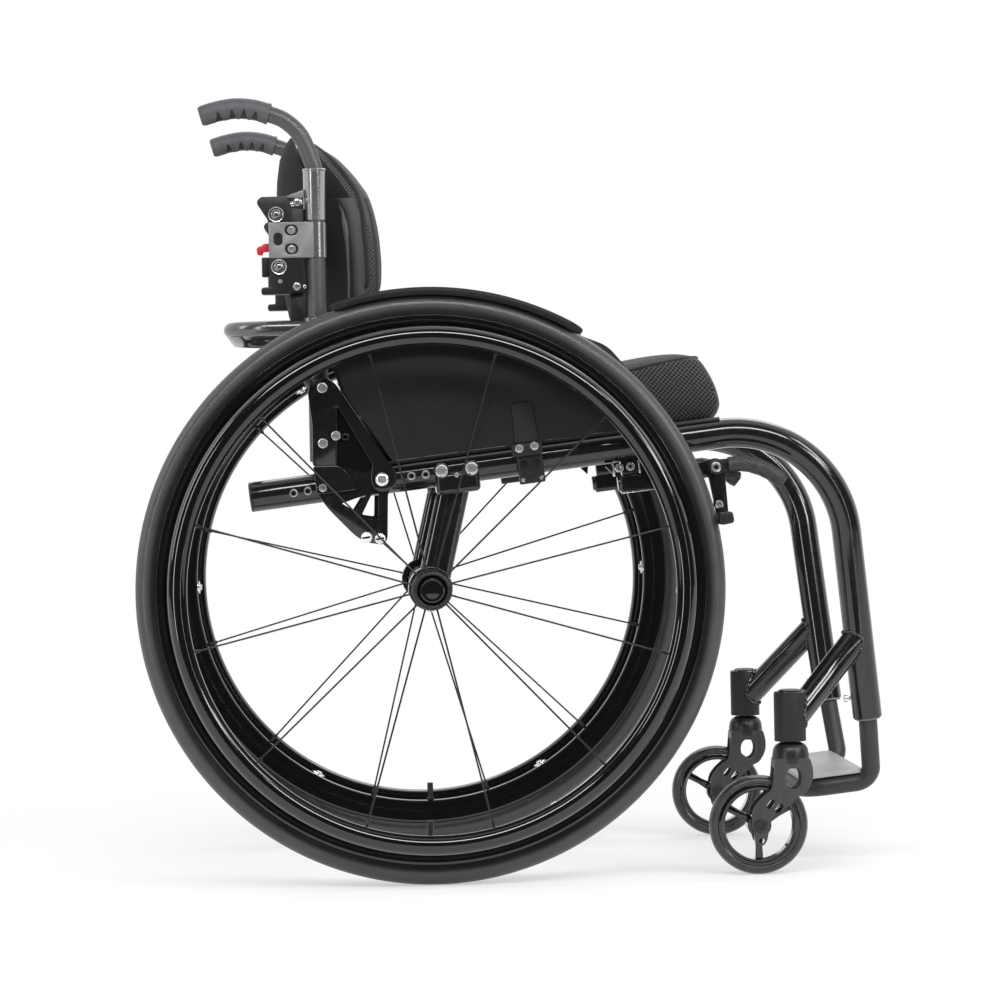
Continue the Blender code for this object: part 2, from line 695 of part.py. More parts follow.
def axle_button():
    seat = HUB_OUTER - RECESS_DEPTH + GAP + PIN_HEAD_T
    face = seat + BUTTON_TRAVEL + GAP
    stem = seat - BUTTON_STEM + GAP
    profile = [(0, stem), (BUTTON_STEM_R, stem), (BUTTON_STEM_R, face), (BUTTON_R, face),
               (BUTTON_R, face + BUTTON_T - BUTTON_CHAMFER), (BUTTON_R - BUTTON_CHAMFER, face + BUTTON_T),
               (0, face + BUTTON_T)]
    return rough(turned(profile, HUB_SEGMENTS, hub_point(), closed=False))


# Casters

def fork_point(z=0.0):
    return Vector((CASTER_X, CASTER_Y, z))


def axle_point(out=0.0):
    return Vector((CASTER_X - TRAIL, CASTER_Y + out, CASTER_R))


def caster_fork():
    top = HOUSING_FOOT - CROWN_CLEAR
    crown = [(0, CROWN_Z), *((r * MM, CROWN_Z + (top - CROWN_Z) * share) for r, share in CROWN_PROFILE),
             (STEM_R, top), (STEM_R, STEM_TOP), (0, STEM_TOP)]
    outline = [(fork_point().x + x * MM, CROWN_Z + z * MM) for x, z in FORK_NECK]
    outline += [(axle_point().x + x * MM, axle_point().z + z * MM) for x, z in FORK_EAR]
    sides = [plate(outline, CASTER_Y + y, FORK_PLATE, unit=1) for y in (FORK_INNER, -FORK_INNER - FORK_PLATE)]
    oval = [(FORK_WINDOW_W / 2 * cos(a), FORK_WINDOW_H / 2 * sin(a)) for a in (pi * k / 4 for k in range(8))]
    window = plate(oval, CASTER_Y - CASTER_R, 2 * CASTER_R, (CASTER_X, CROWN_Z - FORK_WINDOW_DROP), unit=1)
    hole = rod(axle_point() - LEFT, axle_point() + LEFT, CASTER_BOLT_R + GAP)
    return build(turned(crown, 16, fork_point(), closed=False, axis=UP), add=sides, cut=[hole, window])


def caster_wheel():
    half = CASTER_RIM_W / 2
    bevel = CASTER_RIM_BEVEL
    wide = CASTER_HUB_W / 2
    bore = CASTER_BOLT_R + RUN
    ring = [(CASTER_RIM_INNER_R, half - bevel), (CASTER_RIM_INNER_R + bevel, half), (CASTER_RIM_R, half),
            (CASTER_RIM_R, -half), (CASTER_RIM_INNER_R + bevel, -half), (CASTER_RIM_INNER_R, bevel - half)]
    boss = [(bore, wide), (CASTER_HUB_R, wide), (CASTER_HUB_R, -wide), (bore, -wide)]
    thick = LEFT * CASTER_SPOKE_T / 2
    arms = []
    for k in range(CASTER_SPOKES):
        angle = 2 * pi * k / CASTER_SPOKES + pi
        out = Vector((sin(angle), 0, cos(angle)))
        across = Vector((cos(angle), 0, -sin(angle)))
        root = out * (CASTER_HUB_R - bevel) - thick
        tip = out * (CASTER_RIM_INNER_R + bevel) - thick
        outline = [root - across * CASTER_SPOKE_ROOT_W / 2, tip - across * CASTER_SPOKE_W / 2,
                   tip + across * CASTER_SPOKE_W / 2, root + across * CASTER_SPOKE_ROOT_W / 2]
        arms.append(pushed(outline, thick * 2, axle_point()))
    return build(turned(ring, CASTER_SEGMENTS, axle_point()), add=[turned(boss, 14, axle_point()), *arms])


def caster_tyre():
    base = CASTER_RIM_R + GAP
    half = CASTER_TYRE_W / 2
    side = [(base + (CASTER_R - base) * height, half * width) for height, width in CASTER_TYRE_SHAPE]
    profile = side + [(r, -a) for r, a in reversed(side)]
    return rough(turned(profile, CASTER_SEGMENTS, axle_point()))


def caster_axle():
    cheek = FORK_INNER + FORK_PLATE + GAP
    head = cheek + CASTER_BOLT_HEAD_T
    profile = [(0, -head), (CASTER_BOLT_HEAD_R, -head), (CASTER_BOLT_HEAD_R, -cheek), (CASTER_BOLT_R, -cheek),
               (CASTER_BOLT_R, cheek), (CASTER_BOLT_HEAD_R, cheek), (CASTER_BOLT_HEAD_R, head), (0, head)]
    return rough(turned(profile, 12, axle_point(), closed=False))


# Folding back

def pivot(y=0.0):
    return Vector((PIVOT_X, y, PIVOT_Z))


def back_bracket():
    head_y = FOLD_Y + PLATE_T + GAP
    window = plate(FIXED_WINDOW, BRACKET_Y - PLATE_T, 3 * PLATE_T, (PIVOT_X, PIVOT_Z))
    return build(plate(FIXED_OUTLINE, BRACKET_Y, PLATE_T, (PIVOT_X, PIVOT_Z)),
                 add=[rod(pivot(BRACKET_Y + PLATE_T / 2), pivot(head_y + PIVOT_HEAD_T / 2), PIVOT_PIN_R),
                      rod(pivot(head_y), pivot(head_y + PIVOT_HEAD_T), PIVOT_HEAD_R)],
                 cut=[window])


def fold_plate():
    outline = [(CANE_X + x * MM, PIVOT_Z + z * MM) for x, z in FOLD_ALONG_CANE]
    outline += [(PIVOT_X + x * MM, PIVOT_Z + z * MM) for x, z in FOLD_ROUND_PIVOT]
    outline.append((CANE_X + FOLD_CROOK[0] * MM, PIVOT_Z + FOLD_CROOK[1] * MM))
    bosses = []
    for height in BOSS_HEIGHTS:
        root = Vector((CANE_X, CANE_Y, PIVOT_Z + height))
        bosses.append(rod(root, (root.x, FOLD_Y + PLATE_T / 2, root.z), BOSS_R))
    cane_bore = rod((CANE_X, CANE_Y, 0), (CANE_X, CANE_Y, 1), CANE_R + GAP)
    return build(plate(outline, FOLD_Y, PLATE_T, unit=1), add=bosses,
                 cut=[cane_bore, rod(pivot(0), pivot(1), PIVOT_PIN_R + RUN)])


def handle_points(route):
    return [Vector((CANE_X + x * MM, CANE_Y, CANE_TOP + z * MM)) for x, z in route]


def cane():
    foot = Vector((CANE_X, CANE_Y, CANE_FOOT))
    sleeve = SLEEVE_FOOT - CANE_FOOT
    top = CANE_TOP - CANE_FOOT
    profile = [(0, 0), (CANE_R, 0), (CANE_R, sleeve), (SLEEVE_R, sleeve), (SLEEVE_R, top - SLEEVE_LIP_H),
               (SLEEVE_R + SLEEVE_LIP, top - SLEEVE_LIP_H), (SLEEVE_R + SLEEVE_LIP, top), (0, top)]
    handle = sweep(smooth(handle_points(HANDLE_ROUTE), 2), HANDLE_R, GRIP_SIDES)
    return build(turned(profile, TUBE_SIDES, foot, closed=False, axis=UP), add=[handle])


def push_grip():
    route = smooth(handle_points(GRIP_ROUTE), 2)
    bore = smooth(handle_points(HANDLE_ROUTE), 2)
    bore.append(bore[-1] + (bore[-1] - bore[-2]).normalized() * GRIP_WALL)
    return build(sweep(route, HANDLE_R + GRIP_WALL, GRIP_SIDES),
                 cut=[sweep(bore, HANDLE_R + GAP, GRIP_SIDES)])


def rigidizer_bar():
    back = CANE_X - BAR_BACK
    ends = [Vector((CANE_X, side * CANE_Y, BAR_Z)) for side in (1, -1)]
    corners = [ends[0], Vector((back, CANE_Y, BAR_Z)), Vector((back, -CANE_Y, BAR_Z)), ends[1]]
    bar = sweep(rounded(corners, [BAR_BEND_R, BAR_BEND_R], steps=5), BAR_R, 8, UP)
    half = UP * COLLAR_H / 2
    collars = [rod(end - half, end + half, CANE_R + GAP + COLLAR_WALL) for end in ends]
    bores = [rod(end - UP, end + UP, CANE_R + GAP) for end in ends]
    return build(bar, add=collars, cut=bores)


def shell_row(level, offset=0.0):
    """One level of the back shell's inner or outer face, from left to right."""
    height, rear, edge, half = (value * MM for value in level)
    row = []
    for k in range(SHELL_SPAN + 1):
        share = 1 - 2 * k / SHELL_SPAN
        share = sin(share * pi / 2) * SHELL_CROWD + share * (1 - SHELL_CROWD)
        y = (half - offset) * share
        x = rear + offset + (edge - rear) * abs(share) ** SHELL_POWER
        row.append(Vector((x, y, AXLE_Z + height)))
    return row


def loft(rows, backs):
    """A closed solid between two sheets of rows that share their edges' count."""
    bm = bmesh.new()
    loops = []
    for row, back in zip(rows, backs):
        loops.append([bm.verts.new(p) for p in row] + [bm.verts.new(p) for p in reversed(back)])
    for low, high in zip(loops, loops[1:]):
        count = len(low)
        for k in range(count):
            bm.faces.new((low[k], low[(k + 1) % count], high[(k + 1) % count], high[k]))
    half = len(loops[0]) // 2
    for loop in (loops[0], loops[-1]):
        for k in range(half - 1):
            bm.faces.new((loop[k], loop[k + 1], loop[-k - 2], loop[-k - 1]))
    bmesh.ops.recalc_face_normals(bm, faces=bm.faces)
    return bm


def back_shell():
    return rough(loft([shell_row(level) for level in SHELL_LEVELS],
                      [shell_row(level, SHELL_T) for level in SHELL_LEVELS]))


def level_at(height):
    """The shell's sizes at a height between two of its levels."""
    for low, high in zip(SHELL_LEVELS, SHELL_LEVELS[1:]):
        if height <= high[0]:
            share = (height - low[0]) / (high[0] - low[0])
            return tuple(a + (b - a) * share for a, b in zip(low, high))
    return SHELL_LEVELS[-1]


def back_cushion():
    """A pad in the shell, thickest at its wings and falling away towards every edge."""
    backs = []
    fronts = []
    for index, (height, wing, middle) in enumerate(PAD_LEVELS):
        behind = shell_row(level_at(height), SHELL_T + 2 * GAP)
        trim = PAD_INSET if index in (0, len(PAD_LEVELS) - 1) else 0
        front_row = []
        back_row = []
        for point in behind:
            share = abs(point.y / behind[0].y)
            fall = PAD_EDGE_FALL * (1 - cos((share - PAD_WING) * pi / 2))
            ahead = (middle + (wing - middle) * min(1, share / PAD_WING) ** 2) * MM - fall - trim
            y = point.y * (1 - PAD_DRAW * share)
            front_row.append(Vector((max(ahead, point.x + PAD_EDGE_T), y, point.z)))
            back_row.append(Vector((point.x, y, point.z)))
        backs.append(back_row)
        fronts.append(front_row)
    return rough(loft(backs, fronts))


def cane_clamp():
    """A flat strip bent round the cane, its two cheeks running back past it."""
    inner = CANE_R + GAP
    outer = inner + CLAMP_T
    turns = [pi / 2 - pi * k / 8 for k in range(9)]
    outline = [(-CLAMP_BACK, outer, 0)]
    outline += [(outer * cos(a), outer * sin(a), 0) for a in turns]
    outline += [(-CLAMP_BACK_INSIDE, -outer, 0), (-CLAMP_BACK_INSIDE, -inner, 0)]
    outline += [(inner * cos(a), inner * sin(a), 0) for a in reversed(turns)]
    outline += [(-CLAMP_BACK, inner, 0)]
    base = Vector((CANE_X, CANE_Y, CLAMP_Z - CLAMP_H / 2))
    return rough(pushed(outline, UP * CLAMP_H, base))


def hook_bracket():
    body = plate(HOOK_OUTLINE, CANE_Y - HOOK_HALF_W, 2 * HOOK_HALF_W, (CANE_X, CLAMP_Z))
    arm_x = CANE_X - CLAMP_BACK_INSIDE - ARM_T - GAP
    start = CANE_Y - HOOK_HALF_W
    arm = block((arm_x, start - ARM_REACH, CLAMP_Z - ARM_H / 2),
                (arm_x + ARM_T, start + HOOK_HALF_W / 2, CLAMP_Z + ARM_H / 2))
    foot = Vector((arm_x + ARM_T / 2, start - ARM_REACH + ARM_FOOT_R, CLAMP_Z))
    wall = loft([shell_row(level, -GAP) for level in SHELL_LEVELS],
                [shell_row(level, ARM_REACH) for level in SHELL_LEVELS])
    cane_bore = rod((CANE_X, CANE_Y, 0), (CANE_X, CANE_Y, 1), CANE_R + GAP)
    hinge = lever_hinge()
    side = LEFT * (LEVER_W / 2 + RUN)
    return build(body, add=[arm, rod(foot, foot + AHEAD * ARM_FOOT_L, ARM_FOOT_R)],
                 cut=[wall, cane_bore, rod(hinge - side, hinge + side, LEVER_BARREL_R + RUN)])


def lever_hinge():
    return Vector((CANE_X + LEVER_HINGE[0] * MM, CANE_Y, CLAMP_Z + LEVER_HINGE[1] * MM))


def release_lever():
    hinge = lever_hinge()
    side = LEFT * LEVER_W / 2
    return build(rod(hinge - side, hinge + side, LEVER_BARREL_R),
                 add=[plate(LEVER_OUTLINE, CANE_Y - LEVER_W / 2, LEVER_W, (hinge.x, hinge.z))])


# Seat

def sling_drop(y):
    """How far the cloth lies below its crest over the tubes, at a place between them."""
    outer = TUBE_R + GAP + SLING_T
    span = TUBE_Y - outer * sin(SLING_WRAP / 2)
    return outer * (1 - cos(SLING_WRAP / 2)) + SLING_SAG * (1 - (y / span) ** 2)


def seat_sling():
    """Cloth that lies over both main tubes and sags between them."""
    over = 6
    across = 9
    inner = TUBE_R + GAP
    outer = inner + SLING_T
    top = []
    under = []
    for k in range(over + 1):
        angle = pi / 2 + SLING_WRAP / 2 * (2 * k / over - 1)
        top.append((TUBE_Y + outer * cos(angle), outer * sin(angle)))
        under.append((TUBE_Y + inner * cos(angle), inner * sin(angle)))
    for k in range(1, across):
        y = top[over][0] * (1 - 2 * k / across)
        top.append((y, outer - sling_drop(y)))
        under.append((y, outer - sling_drop(y) - SLING_T))
    top += [(-y, z) for y, z in reversed(top[:over + 1])]
    under += [(-y, z) for y, z in reversed(under[:over + 1])]
    start = rail(SLING_REAR)
    end = rail(SLING_FRONT)
    points = [(SLING_REAR, y, start.z + z) for y, z in top + list(reversed(under))]
    return rough(pushed(points, (end.x - start.x, 0, end.z - start.z)))


def seat_cushion():
    """A padded block, higher in front, with a crowned top and an underside that follows the cloth."""
    bm = bmesh.new()
    bmesh.ops.create_cube(bm, size=2)
    bmesh.ops.subdivide_edges(bm, edges=bm.edges, cuts=CUSHION_CUTS, use_grid_fill=True)
    length = (CUSHION_FRONT - CUSHION_REAR) / cos(TUBE_SLOPE)
    for vert in bm.verts:
        a, b, c = vert.co
        x = a * sqrt(1 - CUSHION_SOFT * (b ** 8 + c ** 2)) * (1 - CUSHION_DRAW * (1 - b * b) * abs(a) ** 3)
        y = b * sqrt(1 - CUSHION_SOFT * (a ** 8 + c ** 2)) * (1 - CUSHION_DRAW * (1 - a * a) * abs(b) ** 3)
        fall = CUSHION_EDGE_FALL * max(abs(a), abs(b)) ** 6
        climb = min(1, max(0, a / CUSHION_RISE_SHARE))
        rise = CUSHION_RISE * climb * climb * (3 - 2 * climb)
        z = (c + 1) / 2 * (CUSHION_H + rise)
        if c > 0:
            z += c * (CUSHION_CROWN * (1 - a * a) * (1 - b * b) - fall)
        else:
            z -= c * fall / 2
        z -= (1 - c) / 2 * sling_drop(y * CUSHION_HALF_W) * cos(TUBE_SLOPE)
        vert.co = (x * length / 2, y * CUSHION_HALF_W, z)
    bmesh.ops.rotate(bm, verts=bm.verts, matrix=Matrix.Rotation(-TUBE_SLOPE, 3, LEFT))
    bmesh.ops.translate(bm, verts=bm.verts, vec=cushion_point())
    bmesh.ops.recalc_face_normals(bm, faces=bm.faces)
    return rough(bm)


def cushion_point():
    """Middle of the cushion's underside, just above the cloth where it crosses the tubes."""
    middle = rail((CUSHION_FRONT + CUSHION_REAR) / 2)
    return Vector((middle.x, 0, middle.z + (TUBE_R + 2 * GAP + SLING_T) / cos(TUBE_SLOPE)))


# Side guards

def socket_point():
    return Vector((SOCKET_X, 0, rail(SOCKET_X).z))


def tongue_y():
    return BRACKET_Y + SOCKET_WALL + GAP


def side_guard():
    radius = WHEEL_R + FENDER_CLEAR
    arc = []
    lip_out = []
    lip_in = []
    for k in range(FENDER_STEPS + 1):
        angle = FENDER_FROM + (FENDER_TO - FENDER_FROM) * k / FENDER_STEPS
        out = Vector((sin(angle), 0, cos(angle)))
        middle = out * (radius + FENDER_T / 2)
        arc.append((middle.x, AXLE_Z + middle.z))
        lip_in.append(out * radius + Vector((0, GUARD_Y, AXLE_Z)))
        lip_out.append(out * (radius + FENDER_T) + Vector((0, GUARD_Y, AXLE_Z)))
    feet = [(x, rail(x).z + TUBE_R + GUARD_ABOVE_TUBE) for x in (GUARD_FOOT_FRONT, GUARD_FOOT_REAR)]
    top = AXLE_Z + WHEEL_R
    rear = [(x * MM, top + z * MM) for x, z in GUARD_REAR]
    ahead = [(x * MM, top + z * MM) for x, z in GUARD_FRONT]
    lip = pushed(lip_in + list(reversed(lip_out)), LEFT * FENDER_REACH)
    centre = socket_point()
    wall = tongue_y()
    tongue = block(centre + Vector((-TONGUE_W / 2, wall, SOCKET_TOP - TONGUE_DEPTH)),
                   centre + Vector((TONGUE_W / 2, wall + TONGUE_T, SOCKET_TOP + TAB_TOP)))
    bridge = block(centre + Vector((-TONGUE_W / 2, wall + TONGUE_T / 2, SOCKET_TOP + BRIDGE_LIFT)),
                   centre + Vector((TONGUE_W / 2, GUARD_Y + GUARD_T / 2, SOCKET_TOP + TAB_TOP)))
    return build(plate(rear + arc + ahead + feet, GUARD_Y, GUARD_T, unit=1),
                 add=[lip, tilted(bridge, centre), tilted(tongue, centre)])


def guard_socket():
    centre = socket_point()
    wall = tongue_y()
    shell = block(centre + Vector((-SOCKET_L / 2, BRACKET_Y, SOCKET_TOP - SOCKET_H)),
                  centre + Vector((SOCKET_L / 2, wall + TONGUE_T + GAP + SOCKET_WALL, SOCKET_TOP)))
    pocket = block(centre + Vector((-TONGUE_W / 2 - GAP, wall - GAP, SOCKET_TOP - TONGUE_DEPTH - GAP)),
                   centre + Vector((TONGUE_W / 2 + GAP, wall + TONGUE_T + GAP, SOCKET_TOP + TAB_TOP)))
    return build(tilted(shell, centre), cut=[tilted(pocket, centre)])


# Brakes

def brake_pivot(y=0.0):
    return Vector((BRAKE_PIVOT_X, y, rail(BRAKE_PIVOT_X).z - BRAKE_PIVOT_DROP))


def shoe_point(y=0.0):
    reach = WHEEL_R + SHOE_R + GAP
    return Vector((reach * cos(SHOE_ANGLE), y, AXLE_Z + reach * sin(SHOE_ANGLE)))


def brake_mount():
    middle = rail(BRAKE_X)
    half = TUBE_R + BRAKE_SIDE
    low = -BRAKE_BAR_DROP - BRAKE_BAR_R - BRAKE_BAR_WALL
    saddle = tilted(block(middle + Vector((-BRAKE_L / 2, -half, low)),
                          middle + Vector((BRAKE_L / 2, half, -BRAKE_TOP_DROP))), middle)
    drop = UP * BRAKE_BAR_DROP
    end = rail(BRAKE_BAR_FRONT) - drop
    bar = rod(rail(BRAKE_BAR_REAR) - drop, end, BRAKE_BAR_R)
    knee = block(end + Vector((-BRAKE_KNEE_L, 0, -BRAKE_KNEE_H / 2)),
                 (end.x, BRAKE_PLATE_Y + BRAKE_PLATE / 4, end.z + BRAKE_KNEE_H / 2))
    round_end = [Vector((cos(a), 0, sin(a))) for a in (pi / 2 - pi * k / 6 for k in range(7))]
    arm = [brake_pivot(BRAKE_PLATE_Y) + out * BRAKE_HUB_R for out in round_end]
    tail = Vector((end.x - BRAKE_TAIL_L, BRAKE_PLATE_Y, end.z))
    arm += [tail - UP * BRAKE_TAIL_H / 2, tail + UP * BRAKE_TAIL_H / 2]
    top = BRAKE_PLATE_Y + 3 * BRAKE_PLATE + 3 * GAP
    pin = rod(brake_pivot(BRAKE_PLATE_Y + BRAKE_PLATE / 2), brake_pivot(top + BRAKE_HEAD_T / 2), BRAKE_PIN_R)
    head = rod(brake_pivot(top), brake_pivot(top + BRAKE_HEAD_T), BRAKE_HEAD_R)
    bore = rod(rail(BRAKE_X - BRAKE_L), rail(BRAKE_X + BRAKE_L), TUBE_R + GAP, TUBE_SIDES)
    return build(saddle, add=[bar, knee, pushed(arm, LEFT * BRAKE_PLATE), pin, head], cut=[bore])


def link(start, end, y, radius, thickness):
    """A flat link with round ends between two points."""
    line = Vector((end.x - start.x, 0, end.z - start.z))
    base = atan2(line.z, line.x)
    outline = []
    for centre, first in ((end, base - pi / 2), (start, base + pi / 2)):
        for k in range(7):
            angle = first + pi * k / 6
            outline.append((centre.x + radius * cos(angle), y, centre.z + radius * sin(angle)))
    return pushed(outline, LEFT * thickness)


def brake_shoe():
    y = BRAKE_PLATE_Y + BRAKE_PLATE + GAP
    arm = link(brake_pivot(), shoe_point(), y, BRAKE_HUB_R, BRAKE_PLATE)
    end = WHEEL_Y + TYRE_W / 2 + SHOE_OVERHANG
    return build(arm, add=[rod(shoe_point(y + BRAKE_PLATE / 2), shoe_point(end), SHOE_R)],
                 cut=[rod(brake_pivot(0), brake_pivot(1), BRAKE_PIN_R + RUN)])


def brake_lever():
    y = BRAKE_PLATE_Y + 2 * BRAKE_PLATE + 2 * GAP
    centre = y + BRAKE_PLATE / 2
    points = [brake_pivot(centre) + Vector((x * MM, 0, z * MM)) for x, z in LEVER_ROUTE]
    arm = link(brake_pivot(), points[1], y, LEVER_HUB_R, BRAKE_PLATE)
    return build(arm, add=[sweep(smooth(points, 2), LEVER_GRIP_R, 10)],
                 cut=[rod(brake_pivot(0), brake_pivot(1), BRAKE_PIN_R + RUN)])


# Footrest

def footrest_tube():
    corner = Vector((FOOT_CORNER_X, FOOT_Y, FOOT_CORNER_Z))
    left = [front(LEG_TOP_Z), front(TUBE_FOOT_Z - LEG_KNEE_DROP), corner, corner + foot_back() * FOOT_DEPTH]
    right = [Vector((p.x, -p.y, p.z)) for p in reversed(left)]
    radii = [LEG_KNEE_R, FOOT_BEND_R, FOOT_REAR_BEND_R, FOOT_REAR_BEND_R, FOOT_BEND_R, LEG_KNEE_R]
    return rough(sweep(rounded(left + right, radii, steps=3), LEG_R, LEG_SIDES))


def foot_back():
    return Vector((-cos(TUBE_LEAN), 0, -sin(TUBE_LEAN)))


def footplate():
    back = foot_back()
    normal = Vector((back.z, 0, -back.x))
    start = Vector((FOOT_CORNER_X, 0, FOOT_CORNER_Z)) + normal * (LEG_R + GAP) + back * FOOT_BEND_R
    depth = FOOT_DEPTH + LEG_R / 2 - FOOT_BEND_R
    half = FOOT_Y + PLATE_OVERHANG
    corner = PLATE_CORNER
    outline = [start + LEFT * (half - corner), start + back * corner + LEFT * half,
               start + back * (depth - corner) + LEFT * half, start + back * depth + LEFT * (half - corner)]
    outline += [Vector((p.x, -p.y, p.z)) for p in reversed(outline)]
    return rough(pushed(outline, normal * PLATE_THICK))


clear_scene()
chair = bpy.data.objects.new("chair", None)
chair.location = (AXLE_X, 0, 0)
bpy.context.scene.collection.objects.link(chair)

black_paint = finish("black_paint", (0.02, 0.02, 0.022), 0.32)
black_anodised = finish("black_anodised", (0.018, 0.018, 0.02), 0.25, 0.6)
graphite = finish("graphite", (0.10, 0.10, 0.105), 0.42, 0.5)
light_grey = finish("light_grey", (0.33, 0.33, 0.34), 0.45, 0.4)
steel = finish("steel", (0.62, 0.62, 0.64), 0.3, 1.0)
rubber = finish("rubber", (0.03, 0.03, 0.03), 0.75)
grip_rubber = finish("grip_rubber", (0.07, 0.07, 0.075), 0.7)
plastic = finish("plastic", (0.02, 0.02, 0.02), 0.5)
red_plastic = finish("red_plastic", (0.65, 0.03, 0.04), 0.4)
fabric = finish("fabric", (0.018, 0.018, 0.02), 0.95)
pale_plate = finish("pale_plate", (0.45, 0.45, 0.46), 0.5)

pair(side_frame(), "side_frame", black_paint)
pair(rear_cap(), "rear_cap", plastic)
pair(caster_cap(), "caster_cap", plastic)
keep(camber_tube(), "camber_tube", black_anodised)
pair(axle_stem(), "axle_stem", black_paint)

pair(tyre(), "rear_tyre", rubber, hub_point())
pair(rim(), "rear_rim", black_anodised, hub_point())
pair(handrim(), "handrim", black_anodised, hub_point())
pair(hub(), "rear_hub", black_anodised, hub_point())
pair(axle_pin(), "axle_pin", steel, hub_point())
pair(axle_button(), "axle_button", plastic, hub_point())

pair(caster_fork(), "caster_fork", black_anodised, fork_point())
pair(caster_wheel(), "caster_wheel", black_anodised, axle_point())
pair(caster_tyre(), "caster_tyre", rubber, axle_point())
pair(caster_axle(), "caster_axle", steel, axle_point())

pair(back_bracket(), "back_bracket", black_paint)
pair(fold_plate(), "fold_plate", black_paint, pivot())
pair(cane(), "cane", graphite, pivot())
pair(push_grip(), "push_grip", grip_rubber, pivot())
keep(rigidizer_bar(), "rigidizer_bar", graphite, pivot())
keep(back_shell(), "back_shell", plastic, pivot())
keep(back_cushion(), "back_cushion", fabric, pivot())
pair(cane_clamp(), "cane_clamp", light_grey, pivot())
pair(hook_bracket(), "hook_bracket", plastic, pivot())
pair(release_lever(), "release_lever", red_plastic, lever_hinge())

keep(seat_sling(), "seat_sling", fabric)
keep(seat_cushion(), "seat_cushion", fabric, cushion_point())
pair(side_guard(), "side_guard", plastic, socket_point())
pair(guard_socket(), "guard_socket", plastic)

pair(brake_mount(), "brake_mount", black_paint)
pair(brake_shoe(), "brake_shoe", steel, brake_pivot())
pair(brake_lever(), "brake_lever", grip_rubber, brake_pivot())
keep(footrest_tube(), "footrest_tube", black_paint)
keep(footplate(), "footplate", pale_plate)
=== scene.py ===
import bmesh
import bpy
from math import atan2, cos, exp, pi, radians, sin, sqrt, tan
from mathutils import Matrix, Vector
from mathutils.bvhtree import BVHTree


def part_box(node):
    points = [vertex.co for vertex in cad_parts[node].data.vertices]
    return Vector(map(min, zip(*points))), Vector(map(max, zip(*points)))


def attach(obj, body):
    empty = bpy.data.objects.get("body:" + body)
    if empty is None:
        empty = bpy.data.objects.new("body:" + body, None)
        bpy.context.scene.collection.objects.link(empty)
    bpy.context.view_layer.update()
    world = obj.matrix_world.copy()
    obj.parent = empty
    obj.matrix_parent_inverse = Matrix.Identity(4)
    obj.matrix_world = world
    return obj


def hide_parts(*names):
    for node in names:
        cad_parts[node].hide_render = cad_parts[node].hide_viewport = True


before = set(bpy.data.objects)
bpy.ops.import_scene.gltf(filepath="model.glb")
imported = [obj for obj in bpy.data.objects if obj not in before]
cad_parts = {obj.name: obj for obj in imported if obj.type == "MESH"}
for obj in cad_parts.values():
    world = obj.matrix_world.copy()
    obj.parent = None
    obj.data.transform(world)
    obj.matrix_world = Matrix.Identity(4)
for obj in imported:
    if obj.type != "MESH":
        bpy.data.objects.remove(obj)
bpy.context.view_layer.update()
print("stage: frame loaded")

# Pieces are modelled in millimetres, x ahead of the rear axle, y to the user's left, z up
left = Vector((0, 1, 0))
up = Vector((0, 0, 1))
ahead = Vector((1, 0, 0))
tyreLow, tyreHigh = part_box("left_rear_tyre")
axleX = (tyreLow[0] + tyreHigh[0]) / 2
toMetres = Matrix.Translation((axleX, 0, 0)) @ Matrix.Scale(0.001, 4)
axleHeight = 295
seatTilt = 6.6  # degrees by which the seat tubes rise towards the front
frontTilt = 6.25  # degrees by which the front tubes lean from upright


# Shader sockets that Python's operators work on

class Value:
    def __init__(self, finish, socket):
        self.finish = finish
        self.socket = socket

    def maths(self, operation, *terms):
        return self.finish.node("Math", {"operation": operation}, dict(enumerate(terms)))

    def __add__(self, other):
        return self.maths("ADD", self, other)

    def __radd__(self, other):
        return self.maths("ADD", other, self)

    def __sub__(self, other):
        return self.maths("SUBTRACT", self, other)

    def __rsub__(self, other):
        return self.maths("SUBTRACT", other, self)

    def __mul__(self, other):
        return self.maths("MULTIPLY", self, other)

    def __rmul__(self, other):
        return self.maths("MULTIPLY", other, self)

    def __truediv__(self, other):
        return self.maths("DIVIDE", self, other)

    def __gt__(self, other):
        return self.maths("GREATER_THAN", self, other)

    def __lt__(self, other):
        return self.maths("LESS_THAN", self, other)

    def __pow__(self, other):
        return self.maths("POWER", self, other)

    def __abs__(self):
        return self.maths("ABSOLUTE", self)

    def sine(self):
        return self.maths("SINE", self)

    def cosine(self):
        return self.maths("COSINE", self)

    def least(self, other):
        return self.maths("MINIMUM", self, other)


